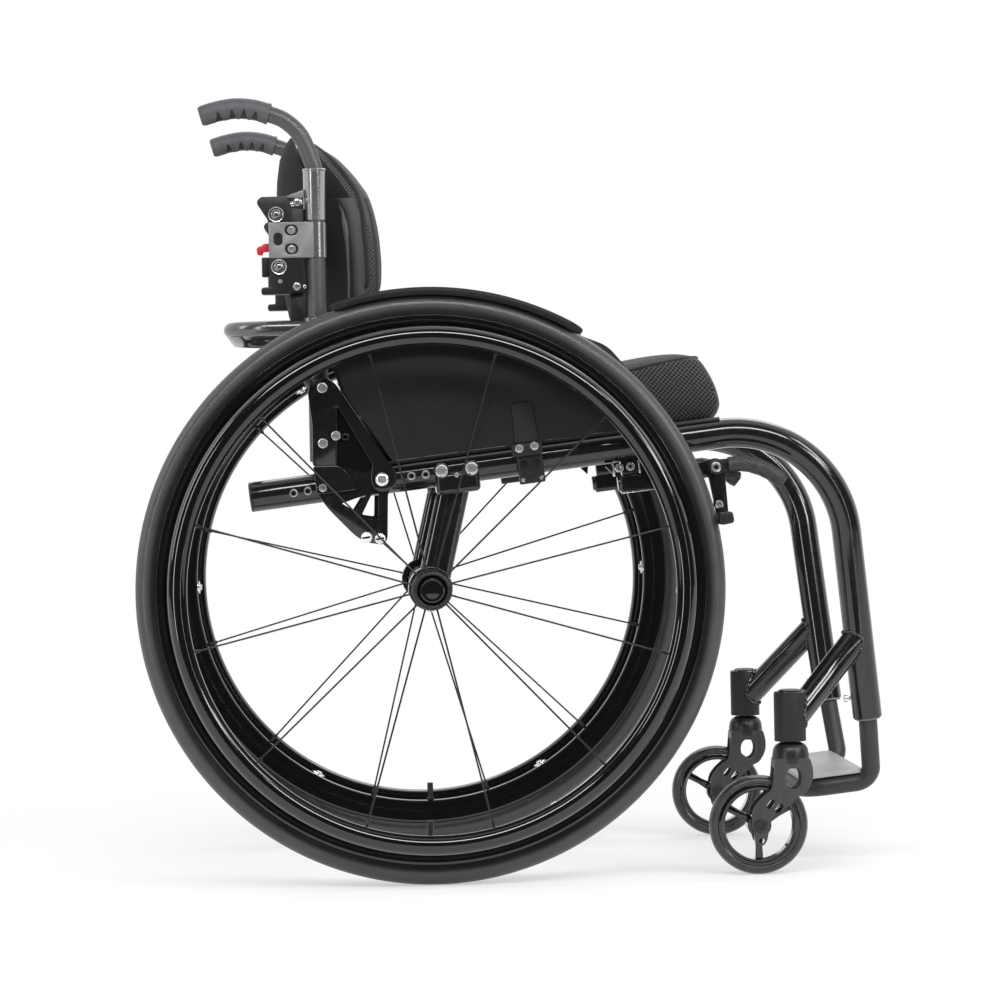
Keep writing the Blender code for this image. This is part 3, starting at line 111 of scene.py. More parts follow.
class Nodes:
    def __init__(self, tree):
        self.tree = tree

    # any node: its type, its settings, then what goes into its sockets
    def node(self, kind, settings, sockets, output=0):
        made = self.tree.nodes.new("ShaderNode" + kind)
        for key, value in settings.items():
            if key == "stops":
                while len(made.color_ramp.elements) < len(value):
                    made.color_ramp.elements.new(0.5)
                for element, (place, tone) in zip(made.color_ramp.elements, value):
                    element.position = place
                    element.color = (*tone, 1) if isinstance(tone, tuple) else (tone, tone, tone, 1)
            else:
                setattr(made, key, value)
        for key, value in sockets.items():
            if isinstance(value, Value):
                self.tree.links.new(value.socket, made.inputs[key])
            else:
                made.inputs[key].default_value = value
        return Value(self, made.outputs[output])

    def show(self, output, value):
        self.tree.links.new(value.socket, self.tree.nodes[output].inputs["Surface"])

    def rays(self, kind):
        return self.node("LightPath", {}, {}, "Is " + kind + " Ray")

    def places(self, shift=(0, 0, 0), stretch=(1, 1, 1), turn=(0, 0, 0)):
        source = self.node("TexCoord", {}, {}, "Object")
        return self.node("Mapping", {}, {"Vector": source, "Location": shift, "Scale": stretch,
                                         "Rotation": turn})

    def cloth(self):
        return self.node("UVMap", {"uv_map": "cloth"}, {})

    def part(self, vector, axis):
        return self.node("SeparateXYZ", {}, {0: vector}, axis)

    def noise(self, size, detail=3, vector=None, rough=0.5):
        source = vector or self.places()
        return self.node("TexNoise", {}, {"Vector": source, "Scale": 1000 / size, "Detail": detail,
                                          "Roughness": rough})

    def ramp(self, value, *stops):
        return self.node("ValToRGB", {"stops": stops}, {0: value})

    def mixed(self, share, first, second):
        # the colours of this node go into sockets 6 and 7 and come out of 2
        return self.node("Mix", {"data_type": "RGBA"}, {0: share, 6: first, 7: second}, 2)

    def bumps(self, height, depth, strength=1.0):
        return self.node("Bump", {}, {"Height": height, "Distance": depth * 0.001, "Strength": strength})


# A finish is a material and the record's slot that it stands for
class Finish(Nodes):
    def __init__(self, name, slot, **shader):
        self.slot = slot
        self.material = bpy.data.materials.new(name)
        self.material.use_nodes = True
        super().__init__(self.material.node_tree)
        self.shader = self.tree.nodes["Principled BSDF"]
        for key, value in shader.items():
            self.shader.inputs[key.replace("_", " ")].default_value = value

    def feed(self, socket, value):
        self.tree.links.new(value.socket, self.shader.inputs[socket])


def shade(value, tint=(1, 1, 1)):
    return (value * tint[0], value * tint[1], value * tint[2], 1)


# Finishes: what a user would change is in each dictionary

paintLook = {
    "gloss black paint": {"black": 0.0065, "rough": 0.13, "coat": 0.6},
    "matte black paint": {"black": 0.007, "rough": 0.55, "coat": 0.0},
    "satin black paint": {"black": 0.024, "rough": 0.42, "coat": 0.0},
}


def makePaint(name):
    look = paintLook[name]
    worn = max(0.012, look["black"] * 1.3)
    made = Finish(name, "black_paint", Coat_Weight=look["coat"], Coat_Roughness=0.06,
                  Specular_IOR_Level=0.45)
    cloud = made.noise(38, 4)
    speck = made.noise(1.4, 2)
    dust = made.ramp(made.noise(9, 5), (0.5, 0), (0.72, 1))
    made.feed("Base Color", made.mixed(dust * 0.6, shade(look["black"]), shade(worn)))
    made.feed("Roughness", cloud * 0.08 + dust * 0.05 + (look["rough"] - 0.04))
    made.feed("Normal", made.bumps(speck, 0.03, 0.5))
    return made


# fine turning lines run round each centre, in millimetres
anodisedLook = {
    "rimAnodised": {"centre": (0, axleHeight), "line": 0.35, "black": 0.003, "pale": 0.006, "rough": 0.1},
    "casterAnodised": {"centre": (326, 50), "line": 0.3, "black": 0.003, "pale": 0.006, "rough": 0.1},
}


def makeAnodised(name):
    look = anodisedLook[name]
    x, z = look["centre"]
    made = Finish(name, "black_anodised", Metallic=0.1, Coat_Weight=0.7, Coat_Roughness=0.04)
    place = made.places(shift=(-axleX - x / 1000, 0, -z / 1000))
    x = made.part(place, 0)
    z = made.part(place, 2)
    radius = (x * x + z * z) ** 0.5
    lines = (radius * (2000 * pi / look["line"])).sine()
    cloud = made.noise(26, 4)
    scuff = made.ramp(made.noise(5, 6), (0.56, 0), (0.74, 1))
    made.feed("Base Color", made.mixed(scuff * 0.5, shade(look["black"]), shade(look["pale"])))
    made.feed("Roughness", cloud * 0.07 + scuff * 0.06 + (look["rough"] - 0.04))
    made.feed("Normal", made.bumps(lines, 0.003, 0.15))
    return made


metalLook = {
    "graphite": {"slot": "graphite", "shade": 0.085, "rough": 0.42, "metal": 0.45},
    "sleeve": {"slot": "graphite", "shade": 0.42, "rough": 0.3, "metal": 0.9, "blue": 1.01, "grain": 0.04},
    "forkGrey": {"slot": "black_anodised", "shade": 0.05, "rough": 0.5, "metal": 0.3, "grain": 0.15},
    "barGrey": {"slot": "graphite", "shade": 0.16, "rough": 0.3, "metal": 0.85, "blue": 1.01, "grain": 0.12},
    "pinSteel": {"slot": "steel", "shade": 0.22, "rough": 0.26, "metal": 0.9, "blue": 1.01, "grain": 0.1},
    "zinc": {"slot": "steel", "shade": 0.8, "rough": 0.5, "metal": 0.25, "blue": 1},
    "clamp": {"slot": "light_grey", "shade": 0.2, "rough": 0.44, "metal": 0.35, "blue": 1.01},
    "steel": {"slot": "steel", "shade": 0.85, "rough": 0.22, "metal": 0.86, "blue": 1.01},
    "spokeBlack": {"slot": "black_anodised", "shade": 0.016, "rough": 0.34, "metal": 0.3},
    "darkSteel": {"slot": "steel", "shade": 0.05, "rough": 0.2, "metal": 0.85},
    "dullSteel": {"slot": "steel", "shade": 0.45, "rough": 0.34, "metal": 1.0},
}


def makeMetal(name):
    look = metalLook[name]
    made = Finish(name, look["slot"], Metallic=look["metal"])
    grain = made.noise(1.1, 3, made.places(stretch=(1, 1, 0.06)))
    cloud = made.noise(30, 4)
    scuff = made.ramp(made.noise(4, 6), (0.58, 0), (0.75, 1))
    tint = (1, 1, look.get("blue", 1.02))
    low = shade(look["shade"] * 0.86, tint)
    high = shade(look["shade"] * 1.12, tint)
    made.feed("Base Color", made.mixed(cloud * 0.7 + scuff * 0.4, low, high))
    strong = look.get("grain", 0.3)
    uneven = cloud * 0.1 + grain * 0.08 + scuff * 0.06
    made.feed("Roughness", uneven * (strong / 0.3) + (look["rough"] - 0.1))
    made.feed("Normal", made.bumps(grain, 0.012, strong))
    return made


plasticLook = {
    "satinPlastic": {"shade": 0.009, "rough": 0.36, "grain": 0.9},
    "guardPlastic": {"shade": 0.006, "rough": 0.5, "grain": 0.6, "spec": 0.3},
    "shellCloth": {"shade": 0.011, "rough": 0.75, "grain": 0.7, "spec": 0.2},
    # painted highlight: a paler plastic for the shell's lit front edge
    "shellEdgeHighlight": {"shade": 0.05, "rough": 0.4, "grain": 0.8},
    "hookPlastic": {"shade": 0.006, "rough": 0.42, "grain": 0.8},
    "capGloss": {"shade": 0.004, "rough": 0.1, "grain": 2.5, "coat": 0.6, "depth": 0.003},
    "redPlastic": {"slot": "red_plastic", "shade": 0.42, "rough": 0.38, "grain": 0.9,
                   "tint": (1, 0.012, 0.035)},
    # painted shade: a near-black finish for sheets and marks put where gaps and slots lie in shadow
    "paintedShadowBlack": {"shade": 0.002, "rough": 0.8, "grain": 0.7, "spec": 0.08},
    "bushing": {"shade": 0.16, "rough": 0.5, "grain": 0.7},
}


def makePlastic(name):
    look = plasticLook[name]
    tint = look.get("tint", (1, 1, 1.03))
    made = Finish(name, look.get("slot", "plastic"), Coat_Weight=look.get("coat", 0.0),
                  Coat_Roughness=0.06, Specular_IOR_Level=look.get("spec", 0.5))
    grain = made.noise(look["grain"], 4)
    cloud = made.noise(45, 4)
    rub = made.ramp(made.noise(7, 6), (0.55, 0), (0.76, 1))
    low = shade(look["shade"] * 0.85, tint)
    high = shade(look["shade"] * 1.25, tint)
    made.feed("Base Color", made.mixed(cloud * 0.6 + rub * 0.4, low, high))
    made.feed("Roughness", cloud * 0.14 + rub * 0.08 + (look["rough"] - 0.09))
    made.feed("Normal", made.bumps(grain, look.get("depth", 0.05), 0.3))
    return made


rubberLook = {
    "tyreRubber": {"slot": "tyre_rubber", "shade": 0.012, "rough": 0.33, "grain": 0.8},
    "casterRubber": {"slot": "tyre_rubber", "shade": 0.026, "rough": 0.27, "grain": 1.4},
    "gripRubber": {"slot": "grip_rubber", "shade": 0.06, "rough": 0.56, "grain": 0.7,
                   "tint": (0.95, 0.98, 1.1)},
    "padRubber": {"slot": "tyre_rubber", "shade": 0.0025, "rough": 0.6, "grain": 0.7,
                  "tint": (0.8, 1.0, 0.9)},
}


def makeRubber(name):
    look = rubberLook[name]
    made = Finish(name, look["slot"])
    grain = made.noise(look["grain"], 4)
    cloud = made.noise(24, 4)
    dust = made.ramp(made.noise(11, 6), (0.45, 0), (0.75, 1))
    tint = look.get("tint", (1, 1, 1))
    low = shade(look["shade"], tint)
    high = shade(look["shade"] * 1.55, tint)
    made.feed("Base Color", made.mixed(dust * 0.55, low, high))
    made.feed("Roughness", cloud * 0.12 + dust * 0.1 + (look["rough"] - 0.08))
    made.feed("Normal", made.bumps(grain, 0.06, 0.4))
    return made


brakeGripLook = {"shade": 0.02, "tint": (0.86, 1.0, 0.94), "pale": 0.036, "pitch": 10, "slope": 0.9}


def makeBrakeGrip():
    look = brakeGripLook
    made = Finish("brakeGrip", "grip_rubber", Roughness=0.5)
    place = made.places()
    turn = 1000 * pi / look["pitch"]
    x = made.part(place, 0) * turn
    z = made.part(place, 2) * (turn * look["slope"])
    waver = made.noise(14, 2) * 1.2
    rising = (x + z + waver).sine()
    falling = (x - z + waver).sine()
    narrow = ((0.01, 1), (0.07, 0))
    thread = made.ramp(rising * rising, *narrow) + made.ramp(falling * falling, *narrow)
    grain = made.noise(0.9, 4)
    cloud = made.noise(7, 3)
    low = shade(look["shade"] * 0.6, look["tint"])
    high = shade(look["shade"] * 1.5, look["tint"])
    ground = made.mixed(cloud, low, high)
    made.feed("Base Color", made.mixed(thread, ground, shade(look["pale"], look["tint"])))
    made.feed("Roughness", cloud * 0.2 + 0.38)
    made.feed("Normal", made.bumps(thread + grain * 0.35, 0.4, 0.7))
    return made


meshLook = {"squat": 1.05, "slant": 0.18, "hole": 0.0025}
# depths run from 0 at the shell to 1 at the cushion's front, heights are in metres
# the last entry darkens the rear strip of the top as a painted shadow
zoneLook = {"top": 0.693, "taperFrom": 0.697, "taper": 7, "widest": 0.32, "sideFrom": 0.42, "strip": 0.3,
            "topTo": 0.64, "plainFrom": 0.76, "plain": 0.42, "gapShadowShade": 0.08}


def makeMesh(name, pitch, thread, zoned=False, opening=(0.56, 0.72)):
    look = meshLook
    made = Finish(name, "fabric", Roughness=0.88, Sheen_Weight=0.12, Sheen_Roughness=0.5,
                  Specular_IOR_Level=0.3)
    cloth = made.cloth()
    u = made.part(cloth, 0) * (1000 / pitch)
    v = made.part(cloth, 1) * (1000 / pitch)
    waver = made.noise(9, 2) * 0.35
    rows = ((v * look["squat"] + waver) * (2 * pi)).cosine()
    columns = ((u + v * look["slant"] + waver) * (2 * pi)).cosine()
    net = (rows * columns + 1) * 0.5
    hole = made.ramp(net, (opening[0], 0), (opening[1], 1))
    fibre = made.noise(0.5, 3)
    tone = made.mixed(fibre, shade(thread * 0.7), shade(thread * 1.35))
    if zoned:
        # netting in a band of each side and over the top, plain dark cloth in front of the band,
        # and a near-black strip at the rear of the top, a painted shadow of the gap behind the cushion
        g = zoneLook
        zone = made.node("UVMap", {"uv_map": "zone"}, {})
        depth = made.part(zone, 0)
        height = made.part(zone, 1)
        high = height > g["top"]
        wide = ((g["taperFrom"] - height) * g["taper"]).least(g["widest"])
        low = (depth > g["sideFrom"]) * (depth < wide + (g["sideFrom"] + 0.01)) * (1 - high)
        hole = hole * (low + high * (depth < g["topTo"]) * (depth > g["strip"]))
        tone = made.mixed((depth > g["plainFrom"]) * (1 - high), tone, shade(thread * g["plain"]))
        tone = made.mixed(high * (depth < g["strip"]), tone, shade(thread * g["gapShadowShade"]))
    made.feed("Base Color", made.mixed(hole, tone, shade(look["hole"])))
    made.feed("Normal", made.bumps(fibre * 0.25 - hole, 0.55, 0.8))
    return made


def makeWebbing(name, thread, pitch):
    made = Finish(name, "fabric", Roughness=0.82, Sheen_Weight=0.1, Specular_IOR_Level=0.3)
    cloth = made.cloth()
    u = made.part(cloth, 0) * (2000 * pi / pitch)
    v = made.part(cloth, 1) * (2000 * pi / pitch)
    weave = u.sine() * v.sine()
    fibre = made.noise(0.8, 4)
    patch = made.noise(30, 4)
    tone = made.mixed(fibre * 0.6 + patch * 0.4, shade(thread * 0.7), shade(thread * 1.4))
    made.feed("Base Color", tone)
    made.feed("Normal", made.bumps(weave + fibre * 0.5, 0.16, 0.6))
    return made


plateLook = {"shade": 0.42, "rough": 0.42}


def makePale():
    look = plateLook
    made = Finish("pale footplate", "pale_plate", Metallic=0.2)
    brush = made.noise(1.6, 4, made.places(stretch=(1, 0.05, 1)))
    cloud = made.noise(34, 4)
    tread = made.node("TexVoronoi", {}, {"Vector": made.places(), "Scale": 420})
    scuff = made.ramp(made.noise(6, 6), (0.5, 0), (0.75, 1))
    low = shade(look["shade"] * 0.78)
    made.feed("Base Color", made.mixed(cloud * 0.6 + scuff * 0.4, shade(look["shade"]), low))
    made.feed("Roughness", brush * 0.14 + cloud * 0.1 + (look["rough"] - 0.1))
    made.feed("Normal", made.bumps(brush + tread * 0.4, 0.05, 0.4))
    return made


# the tyre's shoulder colour is paler than its side: partly dust, partly painted sheen of the side lamps
tyreLook = {"across": 235, "side": 0.011, "shoulderDustAndSheen": 0.05, "chevrons": 300, "slant": 900, "ribs": 900}


def makeTyre():
    look = tyreLook
    made = makeRubber("tyreRubber")
    place = made.places(shift=(-axleX, 0, -axleHeight / 1000))
    x = made.part(place, 0)
    z = made.part(place, 2)
    y = abs(made.part(place, 1)) - look["across"] / 1000
    radius = (x * x + z * z) ** 0.5
    turn = z.maths("ARCTAN2", z, x)
    side = abs(y)
    chevron = (turn * look["chevrons"] + side * look["slant"]).sine()
    outward = (radius - 0.2) * 10
    onTread = made.ramp(outward, (0.9, 0), (0.92, 1))
    # paler band on the shoulder: partly dust, partly painted sheen where the lamps catch the tread's edge
    shoulderDustAndSheen = made.ramp(outward, (0.79, 0), (0.83, 1))
    worn = made.noise(17, 5) * 0.35 + 0.7
    made.feed("Base Color", made.mixed(shoulderDustAndSheen * worn, shade(look["side"]), shade(look["shoulderDustAndSheen"])))
    grain = made.noise(0.9, 4)
    ribs = (turn * look["ribs"]).sine()
    tread = made.ramp(chevron, (0.35, 0), (0.6, 1)) * onTread
    made.feed("Normal", made.bumps(tread * 0.6 + grain * 0.25 + ribs * (1 - onTread) * 0.12, 0.3, 0.7))
    return made


paint = makePaint("gloss black paint")
mattePaint = makePaint("matte black paint")
satinPaint = makePaint("satin black paint")
rimBlack = makeAnodised("rimAnodised")
casterBlack = makeAnodised("casterAnodised")
graphite = makeMetal("graphite")
barGrey = makeMetal("barGrey")
sleeve = makeMetal("sleeve")
clampGrey = makeMetal("clamp")
forkBlack = makeMetal("forkGrey")
spokeBlack = makeMetal("spokeBlack")
steel = makeMetal("steel")
darkSteel = makeMetal("darkSteel")
dullSteel = makeMetal("dullSteel")
pinSteel = makeMetal("pinSteel")
zinc = makeMetal("zinc")
satin = makePlastic("satinPlastic")
guardBlack = makePlastic("guardPlastic")
hookBlack = makePlastic("hookPlastic")
shellBlack = makePlastic("shellCloth")
shellEdgeHighlight = makePlastic("shellEdgeHighlight")
gloss = makePlastic("capGloss")
paintedShadowBlack = makePlastic("paintedShadowBlack")
red = makePlastic("redPlastic")
bushing = makePlastic("bushing")
casterRubber = makeRubber("casterRubber")
gripRubber = makeRubber("gripRubber")
padRubber = makeRubber("padRubber")
brakeGrip = makeBrakeGrip()
netting = makeMesh("cushionNet", 4.8, 0.052, opening=(0.44, 0.6))
backNet = makeMesh("backNet", 4.2, 0.056, True)
edging = makeWebbing("edgingCloth", 0.016, 1.6)
slingCloth = makeWebbing("slingCloth", 0.014, 2.2)
palePlate = makePale()
tyreRubber = makeTyre()
print("stage: finishes made")


# Shape tools

railLine = {"side": 190, "cornerX": 413, "cornerZ": 459, "foot": 153, "inward": 35}


def seatRail(x):  # a point on the left seat tube's axis
    g = railLine
    return Vector((x, g["side"], g["cornerZ"] + tan(radians(seatTilt)) * (x - g["cornerX"])))


def frontRail(z):  # a point on the left front tube's axis
    g = railLine
    drop = g["cornerZ"] - z
    share = drop / (g["cornerZ"] - g["foot"])
    return Vector((g["cornerX"] + tan(radians(frontTilt)) * drop, g["side"] - g["inward"] * share, z))


def roundTurn(count):  # angles evenly round a full turn
    return [2 * pi * k / count for k in range(count)]


def bend(corners, radii, steps=10):  # a route with its corners rounded
    route = [Vector(corners[0])]
    for before, corner, after, radius in zip(corners, corners[1:], corners[2:], radii):
        corner = Vector(corner)
        back = (Vector(before) - corner).normalized()
        onward = (Vector(after) - corner).normalized()
        half = back.angle(onward) / 2
        centre = corner + (back + onward).normalized() * radius / sin(half)
        start = corner + back * radius / tan(half) - centre
        axis = back.cross(onward).normalized()
        for step in range(steps + 1):
            route.append(centre + Matrix.Rotation(-(pi - 2 * half) * step / steps, 3, axis) @ start)
    route.append(Vector(corners[-1]))
    return route


def glide(points, steps=8):  # a smooth route through the points
    points = [Vector(p) for p in points]
    knots = [points[0] * 2 - points[1], *points, points[-1] * 2 - points[-2]]
    route = []
    for a, b, c, d in zip(knots, knots[1:], knots[2:], knots[3:]):
        for step in range(steps):
            t = step / steps
            route.append(0.5 * (2 * b + (c - a) * t + (2 * a - 5 * b + 4 * c - d) * t ** 2
                                + (3 * b - a - 3 * c + d) * t ** 3))
    route.append(points[-1])
    return route


def rounded(bm, parts, width, segments, kind):
    bmesh.ops.bevel(bm, geom=parts, offset=width, offset_type="OFFSET", affect=kind, segments=segments,
                    profile=0.5, material=-1, clamp_overlap=True)


def soften(bm, width, segments=2, angle=30):
    edges = [e for e in bm.edges if e.is_manifold and e.calc_face_angle() > radians(angle)]
    if edges:
        rounded(bm, edges, width, segments, "EDGES")
    return bm


def tidy(bm):
    bmesh.ops.remove_doubles(bm, verts=bm.verts, dist=0.002)
    bmesh.ops.recalc_face_normals(bm, faces=bm.faces)
    return bm


def evaluated(item):  # a new mesh of the object with its modifiers applied
    graph = bpy.context.evaluated_depsgraph_get()
    return bpy.data.meshes.new_from_object(item.evaluated_get(graph))


def tube(route, radius, detail=10, radii=None, closed=False):
    # round stock along a route; radii are shares of the radius, one for each point
    curve = bpy.data.curves.new("tube", "CURVE")
    curve.dimensions = "3D"
    spline = curve.splines.new("POLY")
    spline.points.add(len(route) - 1)
    for index, (point, place) in enumerate(zip(spline.points, route)):
        point.co = (*place, 1)
        point.radius = radii[index] if radii else 1
    spline.use_cyclic_u = closed
    curve.bevel_depth = radius
    curve.bevel_resolution = detail
    curve.use_fill_caps = not closed
    item = bpy.data.objects.new("tube", curve)
    bpy.context.scene.collection.objects.link(item)
    mesh = evaluated(item)
    bm = bmesh.new()
    bm.from_mesh(mesh)
    bpy.data.objects.remove(item, do_unlink=True)
    bpy.data.curves.remove(curve)
    bpy.data.meshes.remove(mesh)
    return tidy(bm)


def lathe(profile, centre, axis=left, steps=96, closed=True):
    # a profile of (radius, place along the axis), spun round the axis
    bm = bmesh.new()
    verts = [bm.verts.new((r, 0, a)) for r, a in profile]
    ends = len(verts) if closed else len(verts) - 1
    edges = [bm.edges.new((verts[k], verts[(k + 1) % len(verts)])) for k in range(ends)]
    bmesh.ops.spin(bm, geom=verts + edges, axis=up, cent=(0, 0, 0), angle=2 * pi, steps=steps,
                   use_merge=True)
    turn = Vector(axis).normalized().to_track_quat("Z", "X").to_matrix()
    bmesh.ops.rotate(bm, verts=bm.verts, matrix=turn)
    bmesh.ops.translate(bm, verts=bm.verts, vec=centre)
    return tidy(bm)


def rod(start, end, radius, steps=32, edge=0.0):
    start = Vector(start)
    end = Vector(end)
    length = (end - start).length
    bm = lathe([(0, 0), (radius, 0), (radius, length), (0, length)], start, end - start, steps, False)
    return soften(bm, edge) if edge else bm


def around(points, centre):  # outline points placed from a centre
    return [(centre[0] + p[0], centre[1] + p[1], *p[2:]) for p in points]


def raised(bm, shift):
    # gives flat faces a thickness
    grown = bmesh.ops.extrude_face_region(bm, geom=bm.faces[:])
    pushed = [item for item in grown["geom"] if isinstance(item, bmesh.types.BMVert)]
    bmesh.ops.translate(bm, verts=pushed, vec=shift)
    return tidy(bm)


def plate(outline, y, thickness, edge=0.5):
    # corners are (x, z) or (x, z, how far back its rounding starts)
    bm = bmesh.new()
    corners = [bm.verts.new((p[0], y, p[1])) for p in outline]
    cuts = {}
    for vert, p in zip(corners, outline):
        if len(p) > 2:
            cuts.setdefault(p[2], []).append(vert)
    bm.faces.new(corners)
    for cut, verts in cuts.items():
        rounded(bm, verts, cut, 6, "VERTICES")
    raised(bm, (0, thickness, 0))
    return soften(bm, edge, 2, 50) if edge else bm


def roundedPlate(x, z, wide, high, corner, y, thickness):
    # a sharp-edged plate with four rounded corners, twice as wide and high as given
    return plate([(x - wide, z - high, corner), (x + wide, z - high, corner), (x + wide, z + high, corner),
                  (x - wide, z + high, corner)], y, thickness, 0)


def block(low, high, edge=0.6, segments=2):
    bm = bmesh.new()
    bmesh.ops.create_cube(bm, size=1)
    low = Vector(low)
    high = Vector(high)
    bmesh.ops.scale(bm, verts=bm.verts, vec=high - low)
    bmesh.ops.translate(bm, verts=bm.verts, vec=(high + low) / 2)
    return soften(bm, edge, segments) if edge else bm


def turned(bm, angle, centre, axis=left):
    bmesh.ops.rotate(bm, verts=bm.verts, cent=centre, matrix=Matrix.Rotation(radians(angle), 3, axis))
    return bm


def moved(bm, shift):
    bmesh.ops.translate(bm, verts=bm.verts, vec=shift)
    return bm


def onRail(x, low, high, edge=0.6, segments=2):
    # a block placed from the seat tube's axis and tilted with it
    middle = seatRail(x)
    return turned(block(middle + Vector(low), middle + Vector(high), edge, segments), -seatTilt, middle)


def together(*shapes):
    whole = bmesh.new()
    for bm in shapes:
        mesh = bpy.data.meshes.new("part")
        bm.to_mesh(mesh)
        bm.free()
        whole.from_mesh(mesh)
        bpy.data.meshes.remove(mesh)
    return whole


def rough(bm):
    mesh = bpy.data.meshes.new("rough")
    bm.to_mesh(mesh)
    bm.free()
    item = bpy.data.objects.new("rough", mesh)
    bpy.context.scene.collection.objects.link(item)
    return item


def carved(body, tools, operation="DIFFERENCE"):
    item = rough(body)
    for tool in tools:
        other = rough(tool)
        modifier = item.modifiers.new("cut", "BOOLEAN")
        modifier.operation = operation
        modifier.solver = "EXACT"
        modifier.object = other
        mesh = evaluated(item)
        item.modifiers.clear()
        item.data = mesh
        bpy.data.objects.remove(other, do_unlink=True)
    bm = bmesh.new()
    bm.from_mesh(item.data)
    bpy.data.objects.remove(item, do_unlink=True)
    bmesh.ops.remove_doubles(bm, verts=bm.verts, dist=0.002)
    return bm


def mirrored(bm):
    other = bm.copy()
    bmesh.ops.scale(other, verts=other.verts, vec=(1, -1, 1))
    bmesh.ops.recalc_face_normals(other, faces=other.faces)
    return other


def clothMap(bm):  # a map in metres, flat on each side of the piece
    layer = bm.loops.layers.uv.new("cloth")
    for face in bm.faces:
        normal = [abs(n) for n in face.normal]
        side = normal.index(max(normal))
        for loop in face.loops:
            x, y, z = loop.vert.co * 0.001
            loop[layer].uv = ((y, z), (x, z), (x, y))[side]


def keep(bm, name, body, finish, nodes=(), angle=35, cloth=False):
    if cloth:
        bm.normal_update()
        clothMap(bm)
    bmesh.ops.transform(bm, matrix=toMetres, verts=bm.verts)
    mesh = bpy.data.meshes.new(name)
    bm.to_mesh(mesh)
    bm.free()
    mesh.shade_smooth()
    mesh.set_sharp_from_angle(angle=radians(angle))
    mesh.materials.append(finish.material)
    item = bpy.data.objects.new(name, mesh)
    bpy.context.scene.collection.objects.link(item)
    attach(item, body)
    if nodes:
        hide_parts(*nodes)
    return item


def pair(bm, name, body, finish, nodes=(), angle=35, turn=0):
    # the left piece and its mirror image, each turned a little way round the rear axle where it is
    # on a wheel; a body that starts with side_ has one on each side
    other = mirrored(bm)
    for side, shape, way in (("left", bm, -1), ("right", other, 1)):
        if turn:
            turned(shape, way * turn, up * axleHeight)
        keep(shape, side + name[0].upper() + name[1:], body.replace("side_", side + "_"), finish,
             [side + "_" + node for node in nodes], angle)


def screw(place, axis=left, radius=4.0, height=2.2, socket=True):
    # a round head, hollow where it has a socket
    r = radius
    profile = [(0, 0), (r, 0), (r, height * 0.45), (r * 0.8, height * 0.9), (r * 0.5, height), (0, height)]
    if socket:
        profile = profile[:-1] + [(r * 0.46, height), (r * 0.42, height * 0.2), (0, height * 0.2)]
    return lathe(profile, place, axis, 24, False)


def socketScrew(place, axis=left, radius=4.0, height=3.0):
    # a round head with a six-sided socket
    head = lathe([(0, 0), (radius, 0), (radius, height - 0.5), (radius - 0.5, height), (0, height)],
                 place, axis, 28, False)
    hole = lathe([(0, height * 0.35), (radius * 0.52, height * 0.35), (radius * 0.52, height + 1),
                  (0, height + 1)], place, axis, 6, False)
    return carved(head, [hole])


def along(start, end, share):
    return Vector(start).lerp(Vector(end), share)


# Frame

frameShape = {"tube": 15, "bend": 116, "rear": -177, "strut": 13.5, "strutTop": 237, "housing": 16,
              "housingFoot": 133.6, "housingTop": 183}


def weldBead(start, end, radius, target, size):
    # a ridge where a tube runs into another shape, found by looking down the tube's side
    tree = BVHTree.FromBMesh(target)
    way = (Vector(end) - Vector(start)).normalized()
    side = way.cross(left).normalized()
    other = way.cross(side)
    places = []
    radii = []
    for a in roundTurn(96):
        ring = Vector(start) + (side * cos(a) + other * sin(a)) * radius
        hit = tree.ray_cast(ring, way)[0]
        if hit:
            places.append(hit)
            radii.append(1 + 0.28 * sin(30 * a) + 0.14 * sin(7 * a + 1))
    return tube(places, size, 4, radii, closed=True)


def makeFrame():
    g = frameShape
    corner = frontRail(railLine["cornerZ"])
    route = bend([seatRail(g["rear"]), corner, frontRail(railLine["foot"])], [g["bend"]], 36)
    main = tube(route, g["tube"], 14)
    base = Vector((*casterShape["swivel"], 151))
    top = frontRail(g["strutTop"])
    housing = Vector((*casterShape["swivel"], 0))
    shell = lathe([(0, g["housingFoot"]), (g["housing"], g["housingFoot"]), (g["housing"], g["housingTop"]),
                   (0, g["housingTop"])], housing, up, 56, False)
    soften(shell, 0.7, 2)
    middle = along(base, top, 0.5)
    strut = tube([base, middle, top], g["strut"], 12)
    beads = together(weldBead(middle, base, g["strut"] + 0.2, shell, 1.8),
                     weldBead(middle, top, g["strut"] + 0.2, main, 1.7))
    rim = [housing + Vector((cos(a) * 14.6, sin(a) * 14.6, g["housingTop"] - 0.3)) for a in roundTurn(60)]
    chips = [0.7 + 0.5 * abs(sin(5 * a) * sin(3.3 * a + 1)) for a in roundTurn(60)]
    ridge = tube(rim, 1.3, 3, chips, closed=True)
    pair(carved(main, [strut], "UNION"), "sideFrame", "frame", paint, ["side_frame"])
    pair(shell, "casterHousing", "frame", mattePaint)
    pair(together(beads, ridge), "frameWelds", "frame", paint)


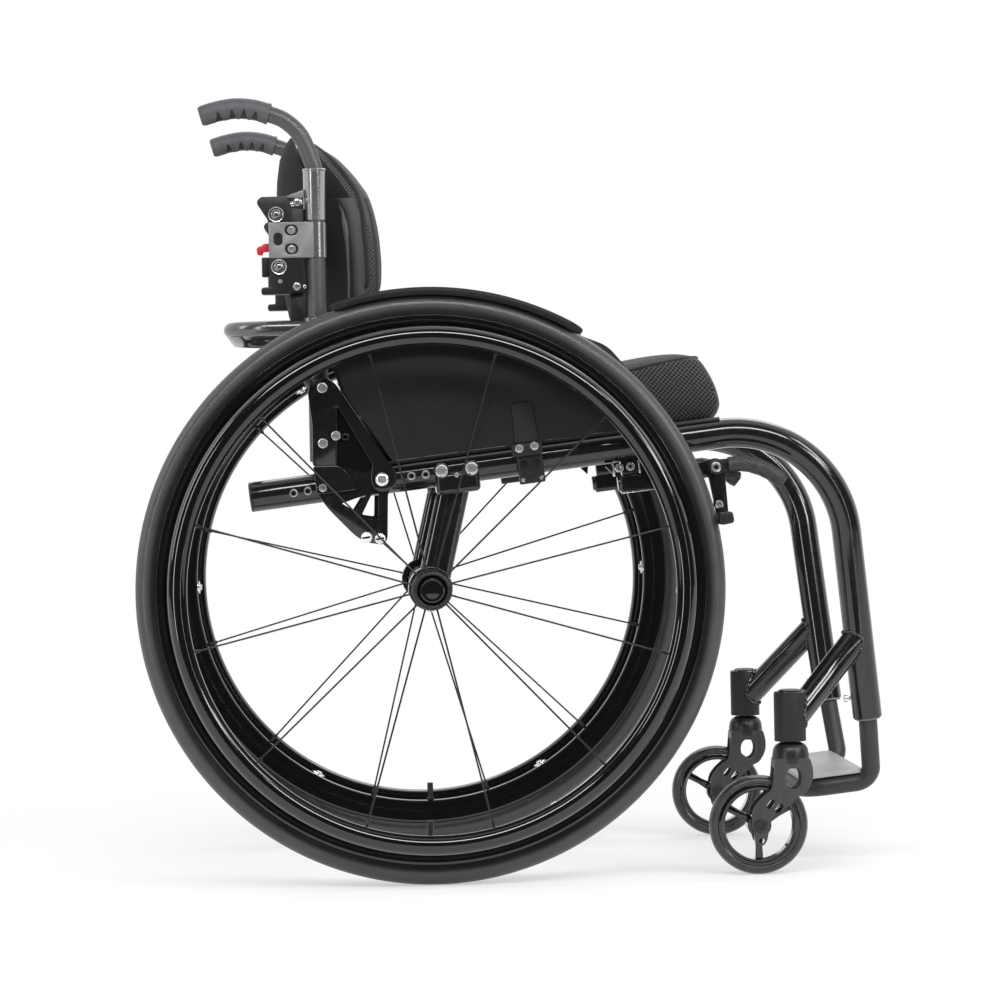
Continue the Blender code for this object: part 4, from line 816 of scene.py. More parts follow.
def makeTubeDetails():
    # threaded holes on the outer side of the seat tube
    rings = []
    wells = []
    for x, z in ((-136, 394), (-121.6, 395.9), (-17.2, 408.8), (-2.8, 410)):
        place = (x, 204.4, z)
        rings.append(lathe([(2.5, 0), (4.2, 0), (4.2, 0.75), (3.6, 1.1), (2.5, 0.9)], place, left, 28))
        wells.append(lathe([(0, 0.1), (2.7, 0.1), (2.7, 0.45), (0, 0.45)], place, left, 20, False))
    pair(together(*rings), "threadRings", "frame", dullSteel)
    pair(together(*wells), "threadWells", "frame", gloss)
    end = seatRail(frameShape["rear"])
    way = (seatRail(-281) - end).normalized()
    cap = lathe([(0, -12), (12.6, -12), (12.6, 0.3), (15, 0.3), (15, 2.2), (13.6, 3.3), (0, 3.3)],
                end, way, 48, False)
    groove = lathe([(9.6, 2.7), (11, 2.7), (11, 4), (9.6, 4)], end, way, 48)
    pair(carved(cap, [groove]), "rearCap", "frame", satin, ["rear_cap"])
    top = Vector((*casterShape["swivel"], frameShape["housingTop"] + 0.3))
    disc = lathe([(0, -8.3), (5.6, -8.3), (5.6, 0), (11.5, 0), (11.5, 1.3), (9.6, 2.6), (5, 3), (0, 3)],
                 top, up, 40, False)
    pair(disc, "casterCap", "frame", satin, ["caster_cap"])
    # a pale bush where each footrest leg enters the frame, and its pinch bolt behind
    foot = frontRail(railLine["foot"])
    down = (frontRail(140) - foot).normalized()
    bush = lathe([(9.9, -2), (13.6, -2), (13.6, 1.3), (12.8, 2), (9.9, 2)], foot + down * 0.2, down, 40)
    pair(bush, "footBush", "frame", bushing)
    hold = frontRail(172) + Vector((-14, -3, 0))
    bolt = together(rod(hold, hold + Vector((-8, 0, 0)), 2.2, 20, 0.3),
                    socketScrew(hold + Vector((-3.5, 0, 0)), (-1, 0, 0), 4.2, 4))
    pair(bolt, "pinchBolt", "frame", steel)


axleShape = {"tube": 16, "bore": 6.8, "half": 204.7, "stem": (32, 20), "groove": 1.7, "stemX": 28}


def makeCamberTube():
    g = axleShape
    half = g["half"]
    bore = g["bore"]
    bar = lathe([(bore, -half), (g["tube"], -half), (g["tube"], half), (bore, half), (bore, half - 20),
                 (10, half - 22), (10, 22 - half), (bore, 20 - half)], up * axleHeight, left, 64)
    keep(soften(bar, 0.8), "camberTube", "frame", paint, ["camber_tube"])


def stemSection(bm):
    # an oval with a flute down each flat side
    g = axleShape
    a = g["stem"][0] / 2
    b = g["stem"][1] / 2
    ring = []
    for t in roundTurn(96):
        x = a * (abs(cos(t)) ** 0.75) * (1 if cos(t) >= 0 else -1)
        y = b * (abs(sin(t)) ** 0.6) * (1 if sin(t) >= 0 else -1)
        dip = exp(-((x + 1.5) / 3.6) ** 2) * g["groove"]
        ring.append(bm.verts.new((x, y - dip * (1 if y > 0 else -1) * min(1, abs(y) / 5), 0)))
    return ring


def makeStem():
    g = axleShape
    middle = seatRail(g["stemX"])
    foot = Vector((0, railLine["side"], axleHeight))
    lean = atan2(middle.x, middle.z - axleHeight)
    height = (middle - foot).length - 19
    bm = bmesh.new()
    bm.faces.new(stemSection(bm))
    raised(bm, up * height)
    bmesh.ops.rotate(bm, verts=bm.verts, matrix=Matrix.Rotation(lean, 3, left))
    moved(bm, foot + Vector((2, 0, 0)))
    saddle = onRail(g["stemX"], (-22.5, -19, -24), (22.5, 19, -2), 5, 5)
    saddle = carved(saddle, [rod(seatRail(-22), seatRail(78), 15.25, 48)])
    boltPlaces = ((13.1, 413.3), (43.5, 415.2))
    ears = [rod((x, 203, z), (x, 209.2, z), 8, 32, 0.6) for x, z in boltPlaces]
    end = (0, g["half"], axleHeight)
    collar = lathe([(16.3, -29), (22.3, -29), (22.3, 0), (16.3, 0)], end, left, 56)
    soften(collar, 1.2, 3)
    pair(together(bm, saddle, *ears, collar), "axleStem", "frame", paint, ["axle_stem"])
    bolts = [screw((x, 209.1, z), left, 6.4, 3.1) for x, z in boltPlaces]
    bolts.append(screw((28.4, 208.9, 408.8), left, 2.4, 1.4))
    bolts += [socketScrew((0, y, 273.4), (0, 0, -1), 3.4, 2.4) for y in (182, 196)]
    pair(together(*bolts), "axleBolts", "frame", steel)


# Rear wheels

wheelShape = {"y": 235, "spokes": 12, "spoke": 0.95, "turn": 1.4}


def wheelPoint(radius, angle, out=0.0):
    a = radians(angle)
    return Vector((radius * sin(a), wheelShape["y"] + out, axleHeight + radius * cos(a)))


def bothSides(side):
    # a wheel's profile from its outer half
    return side + [(r, -a) for r, a in reversed(side)]


def wheelPair(bm, name, finish, nodes=(), angle=35):
    # both wheels, each turned a little way from upright
    pair(bm, name, "side_wheel", finish, nodes, angle, wheelShape["turn"])


def makeWheel():
    g = wheelShape
    hub = wheelPoint(0, 0)
    side = [(270.4, 9.9), (274.9, 10.2), (277.2, 11.5), (280.2, 12.3), (283.6, 12.5), (286.9, 11.9),
            (289.8, 10.4), (291.9, 8.4), (293.2, 6.4), (294.0, 4.5), (293.5, 4.2), (293.5, 3.6),
            (294.5, 3.3), (295, 0.6), (294.3, 0.35)]
    tyre = lathe(bothSides(side), hub, left, 180)
    pair(tyre, "rearTyre", "side_wheel", tyreRubber, ["rear_tyre"], 50)
    side = [(270, 10.4), (273.6, 10.5), (274.5, 11.1), (274.2, 12), (271.4, 12), (262, 10.2), (261.2, 9.3),
            (253, 8.1), (251.2, 7.6), (250, 5.6)]
    rim = soften(lathe(bothSides(side), hub, left, 180), 0.35, 2, 25)
    pair(rim, "rearRim", "side_wheel", rimBlack, ["rear_rim"], 50)
    wires = []
    nuts = []
    for k in range(g["spokes"]):
        angle = 15 + 360 / g["spokes"] * k
        root = wheelPoint(16.5, angle, -25.5 if k % 2 == 0 else 21.5)
        tip = wheelPoint(250, angle)
        wires.append(tube([root, along(root, tip, 0.04), along(root, tip, 0.5), tip], g["spoke"], 3,
                          [1.3, 1, 1, 1]))
        nuts.append(rod(along(root, tip, 0.955), tip, 1.9, 10, 0.3))
    wheelPair(together(*wires), "spokes", spokeBlack)
    hubProfile = [(6.9, -30), (17, -30), (20, -27.5), (20, -21.5), (18.6, -20.8), (13, -17), (13, 13),
                  (18.4, 16.8), (20, 17.6), (20, 32), (18.6, 34.2), (16.9, 35), (15.6, 34.6), (14.6, 33),
                  (14.6, 23.2), (6.9, 23.2)]
    body = lathe(hubProfile, hub, left, 72)
    wheelPair(together(soften(body, 0.4, 2, 40), *nuts), "rearHub", hookBlack, ["rear_hub"], 40)
    # the valve at the bottom
    valve = [rod(wheelPoint(250.5, 180), wheelPoint(236, 180), 2.6, 16, 0.3),
             rod(wheelPoint(242, 180), wheelPoint(231, 180), 3.3, 16, 0.6),
             rod(wheelPoint(250.6, 180), wheelPoint(247.5, 180), 4.4, 6, 0.3)]
    wheelPair(together(*valve), "valve", hookBlack)


handrimShape = {"radius": 252, "tube": 10, "reach": 43.6, "tabs": 6, "tab": 16}


def makeHandrim():
    g = handrimShape
    loop = [(g["radius"] + g["tube"] * cos(a), g["tube"] * sin(a)) for a in roundTurn(28)]
    ring = lathe(loop, wheelPoint(0, 0, g["reach"]), left, 200)
    tabs = []
    screws = []
    for k in range(g["tabs"]):
        angle = 30 + 360 / g["tabs"] * k
        half = g["tab"] / 2
        tab = plate([(-half, 249), (half, 249), (half, 254.5), (-half, 254.5)], 0, 33, 1.0)
        moved(tab, wheelPoint(0, 0, 8.3))
        across = Vector((half, 0, 0))
        foot = block(wheelPoint(248.4, 0, 7.6) - across, wheelPoint(261, 0, 11) + across, 1, 3)
        for bm in (tab, foot):
            turned(bm, angle, up * axleHeight)
        tabs += [tab, foot]
        # a washer and a screw inside the rim hold each tab
        out = wheelPoint(1, angle) - wheelPoint(0, angle)
        seat = wheelPoint(250, angle)
        screws.append(lathe([(3.6, -0.4), (7, -0.4), (7, 1.6), (6, 2.4), (3.6, 2)], seat, -out, 28))
        screws.append(screw(seat, -out, 3.8, 4.6))
    wheelPair(together(ring, *tabs), "handrim", rimBlack, ["handrim"], 50)
    wheelPair(together(*screws), "handrimScrews", steel)


def makeButton():
    profile = [(0, 15.9), (3.5, 15.9), (3.5, 31.9), (13, 31.9), (13, 33.4), (12.2, 34.5), (11, 34.9),
               (9.8, 34.5), (7.5, 34.9), (4, 35.5), (0, 35.7)]
    button = lathe(profile, wheelPoint(0, 0), left, 64, False)
    pair(button, "axleButton", "side_release_button", gloss, ["axle_button"])


# Casters

casterShape = {"swivel": (360, 210), "radius": 50, "trail": 34}
forkOutline = [(-22, 86.2, 3), (-19.5, 96, 8), (-17.6, 117, 2), (17.6, 117, 2), (21.2, 104, 10),
               (19.4, 92, 8), (13, 82, 5), (4, 78, 4), (-2, 70, 8), (-18, 62, 6), (-23.5, 57, 6),
               (-25, 47, 4), (-27, 35, 4), (-31, 29.4, 5), (-37.2, 31, 5), (-40, 40, 6), (-42, 52, 8),
               (-42.3, 63, 8), (-37, 72.5, 8), (-29, 80, 8)]


def forkHoles(x, y):
    # an oval window under the crown, two slanted slots and a hole in the tail
    window = bmesh.new()
    bmesh.ops.create_circle(window, cap_ends=True, radius=1, segments=36)
    bmesh.ops.scale(window, verts=window.verts, vec=(8.6, 11.2, 1))
    bmesh.ops.rotate(window, verts=window.verts, matrix=Matrix.Rotation(pi / 2, 3, "X"))
    raised(window, (0, 60, 0))
    moved(window, (x + 1, y - 30, 96.8))
    slots = []
    for dx, dz in ((-22.8, 71.4), (-14.5, 67)):
        slot = roundedPlate(0, 0, 2.7, 5.5, 2.6, y - 30, 60)
        turned(slot, 38, (0, 0, 0))
        slots.append(moved(slot, (x + dx, 0, dz)))
    return [window, *slots, rod((x - 32.6, y - 30, 34.6), (x - 32.6, y + 30, 34.6), 2.9, 24)]


def makeCaster():
    x0, y0 = casterShape["swivel"]
    place = Vector((x0, y0, 0))
    crown = [(0, 110), (16.8, 110), (18.2, 112), (18.6, 116), (18.4, 121), (17.4, 126), (15.4, 129.6),
             (12.5, 131.4), (10.4, 132.4), (6, 132.4), (6, 168), (0, 168)]
    web = block((x0 - 18, y0 - 14.5, 106.5), (x0 + 18, y0 + 14.5, 116), 2, 3)
    cheeks = []
    for side in (13.5, -17.5):
        cheek = plate(around(forkOutline, (x0, 0)), y0 + side, 4, 0)
        cheek = tidy(carved(cheek, forkHoles(x0, y0)))
        cheeks.append(soften(cheek, 0.6, 2, 50))
    pair(together(web, *cheeks), "casterFork", "side_fork", forkBlack, ["caster_fork"], 30)
    pair(lathe(crown, place, up, 64, False), "forkCrown", "side_fork", satin)
    axle = Vector((x0 - casterShape["trail"], y0, casterShape["radius"]))
    head = [(0, -20.8), (6.5, -20.8), (6.5, -17.8), (4, -17.8), (4, 17.8), (6.5, 17.8), (6.5, 20),
            (5.6, 20.8), (3.4, 20.8), (3.0, 19), (0, 19)]
    pair(lathe(head, axle, left, 40, False), "casterAxle", "side_fork", darkSteel, ["caster_axle"])
    ring = bothSides([(35, 8), (36.2, 9.7), (37.4, 10), (39.6, 10), (41, 9.4)])
    boss = bothSides([(4.5, 12.5), (8.5, 12.5), (8.8, 11.8), (11.2, 11.8), (12, 11)])
    arms = []
    for k in range(3):
        angle = 180 + 120 * k
        arm = plate([(-4.6, 9), (-3.4, 22), (-4.0, 36.5), (4.0, 36.5), (3.4, 22), (4.6, 9)], -4, 8, 0)
        soften(arm, 1.4, 3)
        arms.append(moved(turned(arm, angle, (0, 0, 0)), axle))
    wheel = together(lathe(ring, axle, left, 96), lathe(boss, axle, left, 48), *arms)
    pair(wheel, "casterWheel", "side_caster", casterBlack, ["caster_wheel"], 30)
    lips = [lathe([(34.9, s * 8.2), (35.4, s * 8.0), (36.6, s * 9.8), (36.2, s * 10.2)], axle, left, 96)
            for s in (1, -1)]
    bearings = [lathe([(4.6, s * 12.4), (8, s * 12.4), (8, s * 12.8), (4.6, s * 12.8)], axle, left, 40)
                for s in (1, -1)]
    pair(together(*lips, *bearings), "casterTrim", "side_caster", dullSteel)
    side = [(41.3, 9.5), (42.4, 10.4), (44.4, 10.9), (46.4, 10), (48.2, 7.9), (49.4, 5.0), (49.9, 2),
            (50, 0.4)]
    tyre = lathe(bothSides(side), axle, left, 110)
    pair(tyre, "casterTyre", "side_caster", casterRubber, ["caster_tyre"], 60)


# Folding back brackets

pivotPlace = (-47, 405.776)
caneX = -109
caneY = 185


def caneSpace(low, high, steps=48):
    # the room that the left cane takes, to cut out of what holds it
    return rod((caneX, caneY, low), (caneX, caneY, high), 10.3, steps)


bracketOutline = [(-68, 12, 3), (-66, -12, 4), (-54, -29, 6), (-28, -56, 6), (-17, -63, 6), (0, -65.5, 5),
                  (4.6, -61, 4), (6, -13, 4), (15, -3, 5), (14, 6, 5), (6, 12, 4), (-6, 13, 3), (-36, 45, 6),
                  (-46, 51, 5), (-63, 42, 6)]
bracketWindow = [(-20.5, -34.5, 1), (-10.5, -14.5, 1), (-3.4, -14, 1), (-4.4, -41, 2), (-16.7, -39, 2)]
bracketGap = [(-43, -24, 1), (-16.5, -15, 0.5), (-28, -33.5, 1)]
foldOutline = [(-92, 15, 2), (-116, 15, 2), (-116, 58, 6), (-120, 91, 6), (-113, 102, 6), (-103, 105, 6),
               (-92, 98, 5)]
foldHub = [(6, 19, 3), (13, 10, 4), (15, 0, 5), (10, -10, 5), (0, -13, 4), (-9, -9, 4), (-11, 3, 4),
           (-9, 15, 2)]
padOutline = [(-116, 420.3, 2), (-91, 420.3, 2), (-80, 412, 2), (-72, 396, 3), (-112, 392, 3)]


def makeBrackets():
    cx, cz = pivotPlace
    outer = plate(around(bracketOutline, pivotPlace), 205.3, 4, 0.6)
    windows = [plate(around(points, pivotPlace), 200, 14, 0) for points in (bracketWindow, bracketGap)]
    lighten = [plate(around(points, pivotPlace), 208.3, 4, 0) for points in
               ([(-30, 2, 2), (-14, 10, 2), (-27, 24, 2)], [(-31, -6, 2), (-18, -3, 2), (-26, -14, 2)])]
    pin = [rod((cx, 206, cz), (cx, 215, cz), 4, 24), rod((cx, 213.9, cz), (cx, 216.4, cz), 7, 32, 0.5)]
    outer = together(carved(outer, [*windows, *lighten]), *pin)
    pair(outer, "backBracket", "frame", paint, ["back_bracket"])
    heads = [screw((-106.6, 209.2, 398.6), left, 5, 2.6), screw((cx, 216.2, 405.8), left, 6.6, 2.2, False)]
    pair(together(*heads), "bracketBolts", "frame", steel)
    discs = []
    slotShades = []
    for x, z, radius in ((-63.6, 347.8, 5.6), (-50, 346.4, 5.4)):
        slot = turned(block((x - 8, 209.4, z - 1), (x + 4, 213, z + 1), 0), -8, Vector((x, 210, z)))
        discs.append(carved(screw((x, 209.2, z), left, radius, 2.2, False), [slot]))
        # a near-black block in each carved slot is painted shade in the recess
        slotShade = block((x - 3.6, 209.6, z - 0.8), (x + 3.6, 211.1, z + 0.8), 0)
        slotShades.append(turned(slotShade, -8, Vector((x, 210, z))))
    pair(together(*discs), "slottedDiscs", "frame", zinc)
    pair(together(*slotShades), "discSlots", "frame", paintedShadowBlack)
    pad = plate(padOutline, 209.35, 3.9, 0.5)
    hole = rod((-106.6, 205, 398.6), (-106.6, 218, 398.6), 5.4, 32)
    pair(carved(pad, [hole]), "bracketPad", "frame", paint)


def makeFoldPlates():
    cx, cz = pivotPlace
    outline = around(foldOutline, (0, cz)) + around(foldHub, pivotPlace)
    outline.append((caneX + 18, cz + 76, 5))
    slab = plate(outline, 209.6, 4, 0.6)
    bore = rod((cx, 200, cz), (cx, 220, cz), 4.5, 32)
    bosses = [rod((caneX, 190, cz + h), (caneX, 211.5, cz + h), 7, 32) for h in (65, 94)]
    fold = together(carved(slab, [bore]), carved(together(*bosses), [caneSpace(380, 560)]))
    pair(fold, "foldPlate", "backrest", paint, ["fold_plate"])
    heads = [screw((-105, 213.4, 499), left, 5.2, 2.6), screw((-105.4, 213.4, 443.3), left, 5, 2.2),
             screw((-92.2, 213.4, 450.7), left, 4.8, 2.2)]
    pair(together(*heads), "foldBolts", "backrest", steel)
    ring = lathe([(1.8, 0), (3.7, 0), (3.7, 0.8), (3.2, 1.1), (1.8, 0.8)], (-82.8, 213.2, 449.6), left, 28)
    pair(ring, "foldRing", "backrest", darkSteel)
    knob = rod((-121.2, 206, 508.6), (-109.4, 206, 495.3), 4.6, 24, 0.8)
    pair(knob, "foldKnob", "backrest", graphite)
    # a thin near-black sheet fills the gap between the limb and the arm as painted shadow
    web = plate([(-93, 422, 1), (-93, 484, 1), (-89, 484, 1), (-56, 419, 2), (-62, 414, 3)], 209.7, 0.9, 0)
    pair(web, "foldWeb", "backrest", paintedShadowBlack)


# Canes and grips

caneShape = {"radius": 10, "foot": 425, "sleeveFoot": 669, "sleeve": 11.2, "top": 721, "handle": 8.5,
             "grip": 10.68}
handleRoute = [(0, -12), (0, 0), (-3, 10), (-13, 34), (-28, 49), (-44, 56), (-60, 60.5), (-78, 62)]
gripRoute = [(-44, 56), (-60, 60.5), (-78, 62), (-96, 59.5), (-114, 54.5)]


def canePoints(route):
    return [Vector((caneX + x, caneY, caneShape["top"] + z)) for x, z in route]


def makeCane():
    g = caneShape
    radius = g["radius"]
    low = g["foot"]
    high = g["sleeveFoot"]
    top = g["top"]
    axis = (caneX, caneY, 0)
    shaft = lathe([(0, low), (radius - 0.6, low), (radius, low + 0.8), (radius, high), (0, high)], axis, up,
                  56, False)
    handle = tube(glide(canePoints(handleRoute), 8), g["handle"], 12)
    pair(together(shaft, handle), "cane", "backrest", graphite, ["cane"])
    collar = lathe([(9, high), (g["sleeve"], high), (g["sleeve"], top - 2.4), (12, top - 2),
                    (12, top - 0.6), (11.5, top), (8.6, top), (8.6, top - 3)], axis, up, 56)
    pair(soften(collar, 0.25, 2, 40), "caneSleeve", "backrest", sleeve)


def makeGrip():
    g = caneShape
    route = glide(canePoints(gripRoute), 10)
    count = len(route)
    radii = []
    for k in range(count):
        share = k / (count - 1)
        lip = exp(-((share - 0.02) / 0.03) ** 2) * 0.05
        tail = -0.16 * max(0, (share - 0.95) / 0.05) ** 2
        radii.append(0.97 + lip + tail + 0.03 * cos((share - 0.5) * pi))
    body = tube(route, g["grip"], 14, radii)
    bore = tube(glide(canePoints(handleRoute), 8), g["handle"] + 0.3, 10)
    wedges = []
    for share in (0.2, 0.385, 0.57, 0.75):  # the notches between the finger ridges
        index = int(share * (count - 1))
        middle = route[index]
        way = (route[index + 1] - route[index - 1]).normalized()
        lean = atan2(-way.z, -way.x)
        wedge = plate([(-5.2, -14), (5.2, -14), (0.8, -1.6, 0.8), (-0.8, -1.6, 0.8)], -20, 40, 0)
        bmesh.ops.rotate(wedge, verts=wedge.verts, matrix=Matrix.Rotation(-lean, 3, left))
        wedges.append(moved(wedge, middle))
    pair(carved(body, [bore, *wedges]), "pushGrip", "backrest", gripRubber, ["push_grip"])
    # a darker core seen through the notches is painted shade in them
    pair(tube(route[3:-3], 10.2, 10), "gripCore", "backrest", hookBlack)


barShape = {"height": 561, "rear": -197, "bend": 45, "tube": 7.5, "collar": 14.3}


def makeBar():
    g = barShape
    z = g["height"]
    corners = [(caneX, caneY, z), (g["rear"], caneY, z), (g["rear"], -caneY, z), (caneX, -caneY, z)]
    bar = tube(bend(corners, [g["bend"], g["bend"]], 14), g["tube"], 10)
    wide = g["collar"]
    ring = [(10.3, -10), (wide, -10), (wide, 10), (10.3, 10)]
    collars = [soften(lathe(ring, (caneX, s * caneY, z), up, 40), 0.9, 3) for s in (1, -1)]
    room = caneSpace(540, 580, 40)
    keep(together(carved(bar, [room, mirrored(room)]), *collars), "rigidizerBar", "backrest", barGrey,
         ["rigidizer_bar"])


# Back shell and cushion

# height, rear face at the middle, front edge at the side, half width
shellLevels = [(578, -139, -75, 170), (610, -145, -74, 171), (645, -149, -75, 172), (678, -150, -79, 171),
               (700, -150, -90, 165), (722, -149, -104, 152), (743, -146, -118, 130), (757, -141, -126, 104),
               (764, -136, -130, 80)]
# height, front of the cushion at the wings, then at the middle
padLevels = [(582, -47, -80), (600, -40, -74), (628, -40, -72), (654, -42, -73), (678, -46, -76),
             (698, -52, -82), (719, -66, -92), (738, -82, -105), (753, -101, -121)]
backShape = {"wall": 3.3, "power": 2.6, "inset": 4.3, "padFoot": 583.5, "padHeight": 171, "wing": 0.72,
             "fall": 18, "fill": 0.7}


def levelAt(levels, height):
    for low, high in zip(levels, levels[1:]):
        if height <= high[0]:
            share = max(0, (height - low[0]) / (high[0] - low[0]))
            return [a + (b - a) * share for a, b in zip(low, high)]
    return list(levels[-1])


def shellPoint(share, height, offset=0.0):  # share runs from -1 on the right to 1 on the left
    _, rear, edge, half = levelAt(shellLevels, height)
    x = rear + offset + (edge - rear) * abs(share) ** backShape["power"]
    return Vector((x, (half - offset) * share, height))


def spread(b):  # closer together towards the wings
    return sin(b * pi / 2) * 0.55 + b * 0.45


def makeShell():
    foot = shellLevels[0][0]
    tall = shellLevels[-1][0] - foot
    bm = bmesh.new()
    bmesh.ops.create_grid(bm, x_segments=56, y_segments=44, size=1)
    for vert in bm.verts:
        share = spread(vert.co.x)
        height = foot + (vert.co.y + 1) / 2 * tall
        share *= 1 - 0.15 * min(1, max(0, (height - 692) / 5))
        vert.co = shellPoint(share, height, 0.1)
    bmesh.ops.recalc_face_normals(bm, faces=bm.faces)
    middle = min(bm.faces, key=lambda f: (f.calc_center_median() - Vector((-150, 0, 660))).length)
    if middle.normal.x > 0:
        bmesh.ops.reverse_faces(bm, faces=bm.faces)
    bmesh.ops.solidify(bm, geom=bm.faces[:], thickness=backShape["wall"])
    tidy(bm)
    soften(bm, 0.9, 3, 50)
    keep(bm, "backShell", "backrest", shellBlack, ["back_shell"], 40)
    # a smooth bead along each wing's front edge, in a paler plastic that is a painted highlight on the lit
    # edge
    for side, name in ((1, "leftShellBead"), (-1, "rightShellBead")):
        route = [shellPoint(side * 0.985, 580 + k * 3.5, 0.1) + Vector((1.5, 0, 0)) for k in range(33)]
        radii = [1 + 0.5 * exp(-((k - 23) / 5) ** 2) - 0.7 * max(0, (k - 26) / 6) for k in range(33)]
        keep(tube(route, 2.0, 5, radii), name, "backrest", shellEdgeHighlight)


def padFront(size, height):  # size runs from 0 in the middle to 1 at the sides
    _, wing, middle = levelAt(padLevels, height)
    start = backShape["wing"]
    fall = backShape["fall"] * (1 - cos((size - start) * pi / 2))
    return middle + (wing - middle) * min(1, size / start) ** 2 - fall


def padPoint(b, c, a):  # b across, c up, a from the shell (-1) to the front (1)
    height = backShape["padFoot"] + (c + 1) / 2 * backShape["padHeight"]
    share = spread(b)
    size = abs(share)
    behind = shellPoint(share, height, backShape["inset"])
    front = max(padFront(size, height), behind.x + 8)
    y = behind.y * (1 - 0.02 * size)
    return Vector((behind.x + (front - behind.x) * (a + 1) / 2, y, height))


def padZone(place):  # how far from the shell to the front, then the height in metres
    half = levelAt(shellLevels, place.z)[3]
    size = min(1, abs(place.y) / (half - backShape["inset"]) / 0.98)
    behind = shellPoint(size, place.z, backShape["inset"]).x
    return (place.x - behind) / max(8, padFront(size, place.z) - behind), place.z * 0.001


def rounder(a, b, c, amount):
    # draws a cube's edges and corners in
    x = a * sqrt(1 - amount * (b ** 8 + c ** 8) / 2)
    y = b * sqrt(1 - amount * (a ** 8 + c ** 8) / 2)
    z = c * sqrt(1 - amount * (a ** 8 + b ** 8) / 2)
    return x, y, z


def facingUp(bm):
    bmesh.ops.recalc_face_normals(bm, faces=bm.faces)
    if sum(f.normal.z for f in bm.faces) < 0:
        bmesh.ops.reverse_faces(bm, faces=bm.faces)


def puffed(bm, pressure, cap, voxel, steps=20):
    # cloth under pressure from inside, with every point's movement capped
    item = rough(bm)
    item.data.transform(Matrix.Scale(0.001, 4))
    remesh = item.modifiers.new("remesh", "REMESH")
    remesh.mode = "VOXEL"
    remesh.voxel_size = voxel * 0.001
    remesh.use_smooth_shade = True
    mesh = evaluated(item)
    item.modifiers.clear()
    item.data = mesh
    start = [v.co.copy() for v in mesh.vertices]
    cloth = item.modifiers.new("cloth", "CLOTH")
    cloth.settings.quality = 5
    cloth.settings.use_pressure = True
    cloth.settings.uniform_pressure_force = pressure
    cloth.settings.effector_weights.gravity = 0
    cloth.settings.tension_stiffness = 12
    cloth.settings.bending_stiffness = 2
    scene = bpy.context.scene
    for step in range(1, steps + 1):
        scene.frame_set(step)
    after = evaluated(item)
    item.modifiers.clear()
    scene.frame_set(1)
    for vert, puff, old in zip(mesh.vertices, after.vertices, start):
        shift = puff.co - old
        if shift.length > cap * 0.001:
            shift *= cap * 0.001 / shift.length
        vert.co = old + shift
    bpy.data.meshes.remove(after)
    mesh.transform(Matrix.Scale(1000, 4))
    result = bmesh.new()
    result.from_mesh(mesh)
    bpy.data.objects.remove(item, do_unlink=True)
    for _ in range(2):
        bmesh.ops.smooth_vert(result, verts=result.verts, factor=0.5, use_axis_x=True, use_axis_y=True,
                              use_axis_z=True)
    return result


def filled(place, cuts, cap):
    # a cube with its points moved to the cushion's shape, then blown up
    bm = bmesh.new()
    bmesh.ops.create_cube(bm, size=2)
    bmesh.ops.subdivide_edges(bm, edges=bm.edges, cuts=cuts, use_grid_fill=True)
    for vert in bm.verts:
        vert.co = place(*vert.co)
    bmesh.ops.recalc_face_normals(bm, faces=bm.faces)
    return puffed(bm, 3, cap, 5)
    bmesh.ops.subdivide_edges(bm, edges=bm.edges, cuts=1, use_grid_fill=True)
    return bm


def evened(route, far, near, own):
    # a closed route, each point drawn towards its two neighbours on either side
    count = len(route)
    return [route[k - 2] * far + route[k - 1] * near + route[k] * own + route[(k + 1) % count] * near
            + route[(k + 2) % count] * far for k in range(count)]


def backPlace(a, b, c):
    a, b, c = rounder(a, b, c, 0.12)
    if a > 0:
        a -= 0.16 * max(abs(b), abs(c)) ** 10 * a
    return padPoint(b, c, a * 0.97)


def makeBackCushion():
    bm = filled(backPlace, 23, 2.2)
    layer = bm.loops.layers.uv.new("zone")
    for face in bm.faces:
        for loop in face.loops:
            loop[layer].uv = padZone(loop.vert.co)
    pad = keep(bm, "backCushion", "backrest", backNet, ["back_cushion"], 60, True)
    # piping round the sides and over the top
    route = []
    for t in roundTurn(160):
        b = max(-1, min(1, 1.25 * cos(t)))
        c = max(-0.97, min(0.98, 1.25 * sin(t)))
        depth = -0.1 + 0.38 * min(1, max(0, (c + 0.1) / 0.5))
        route.append(padPoint(b, c, depth) + Vector((0, 0.8 * b, 0.8 * max(0, c))))
    piping = tube(evened(route, 0.1, 0.2, 0.4), 2.0, 4, closed=True)
    keep(piping, "backPiping", "backrest", edging, cloth=True)


# Clamps, hooks and release levers

clampShape = {"foot": 631, "height": 36, "screws": (659, 640)}


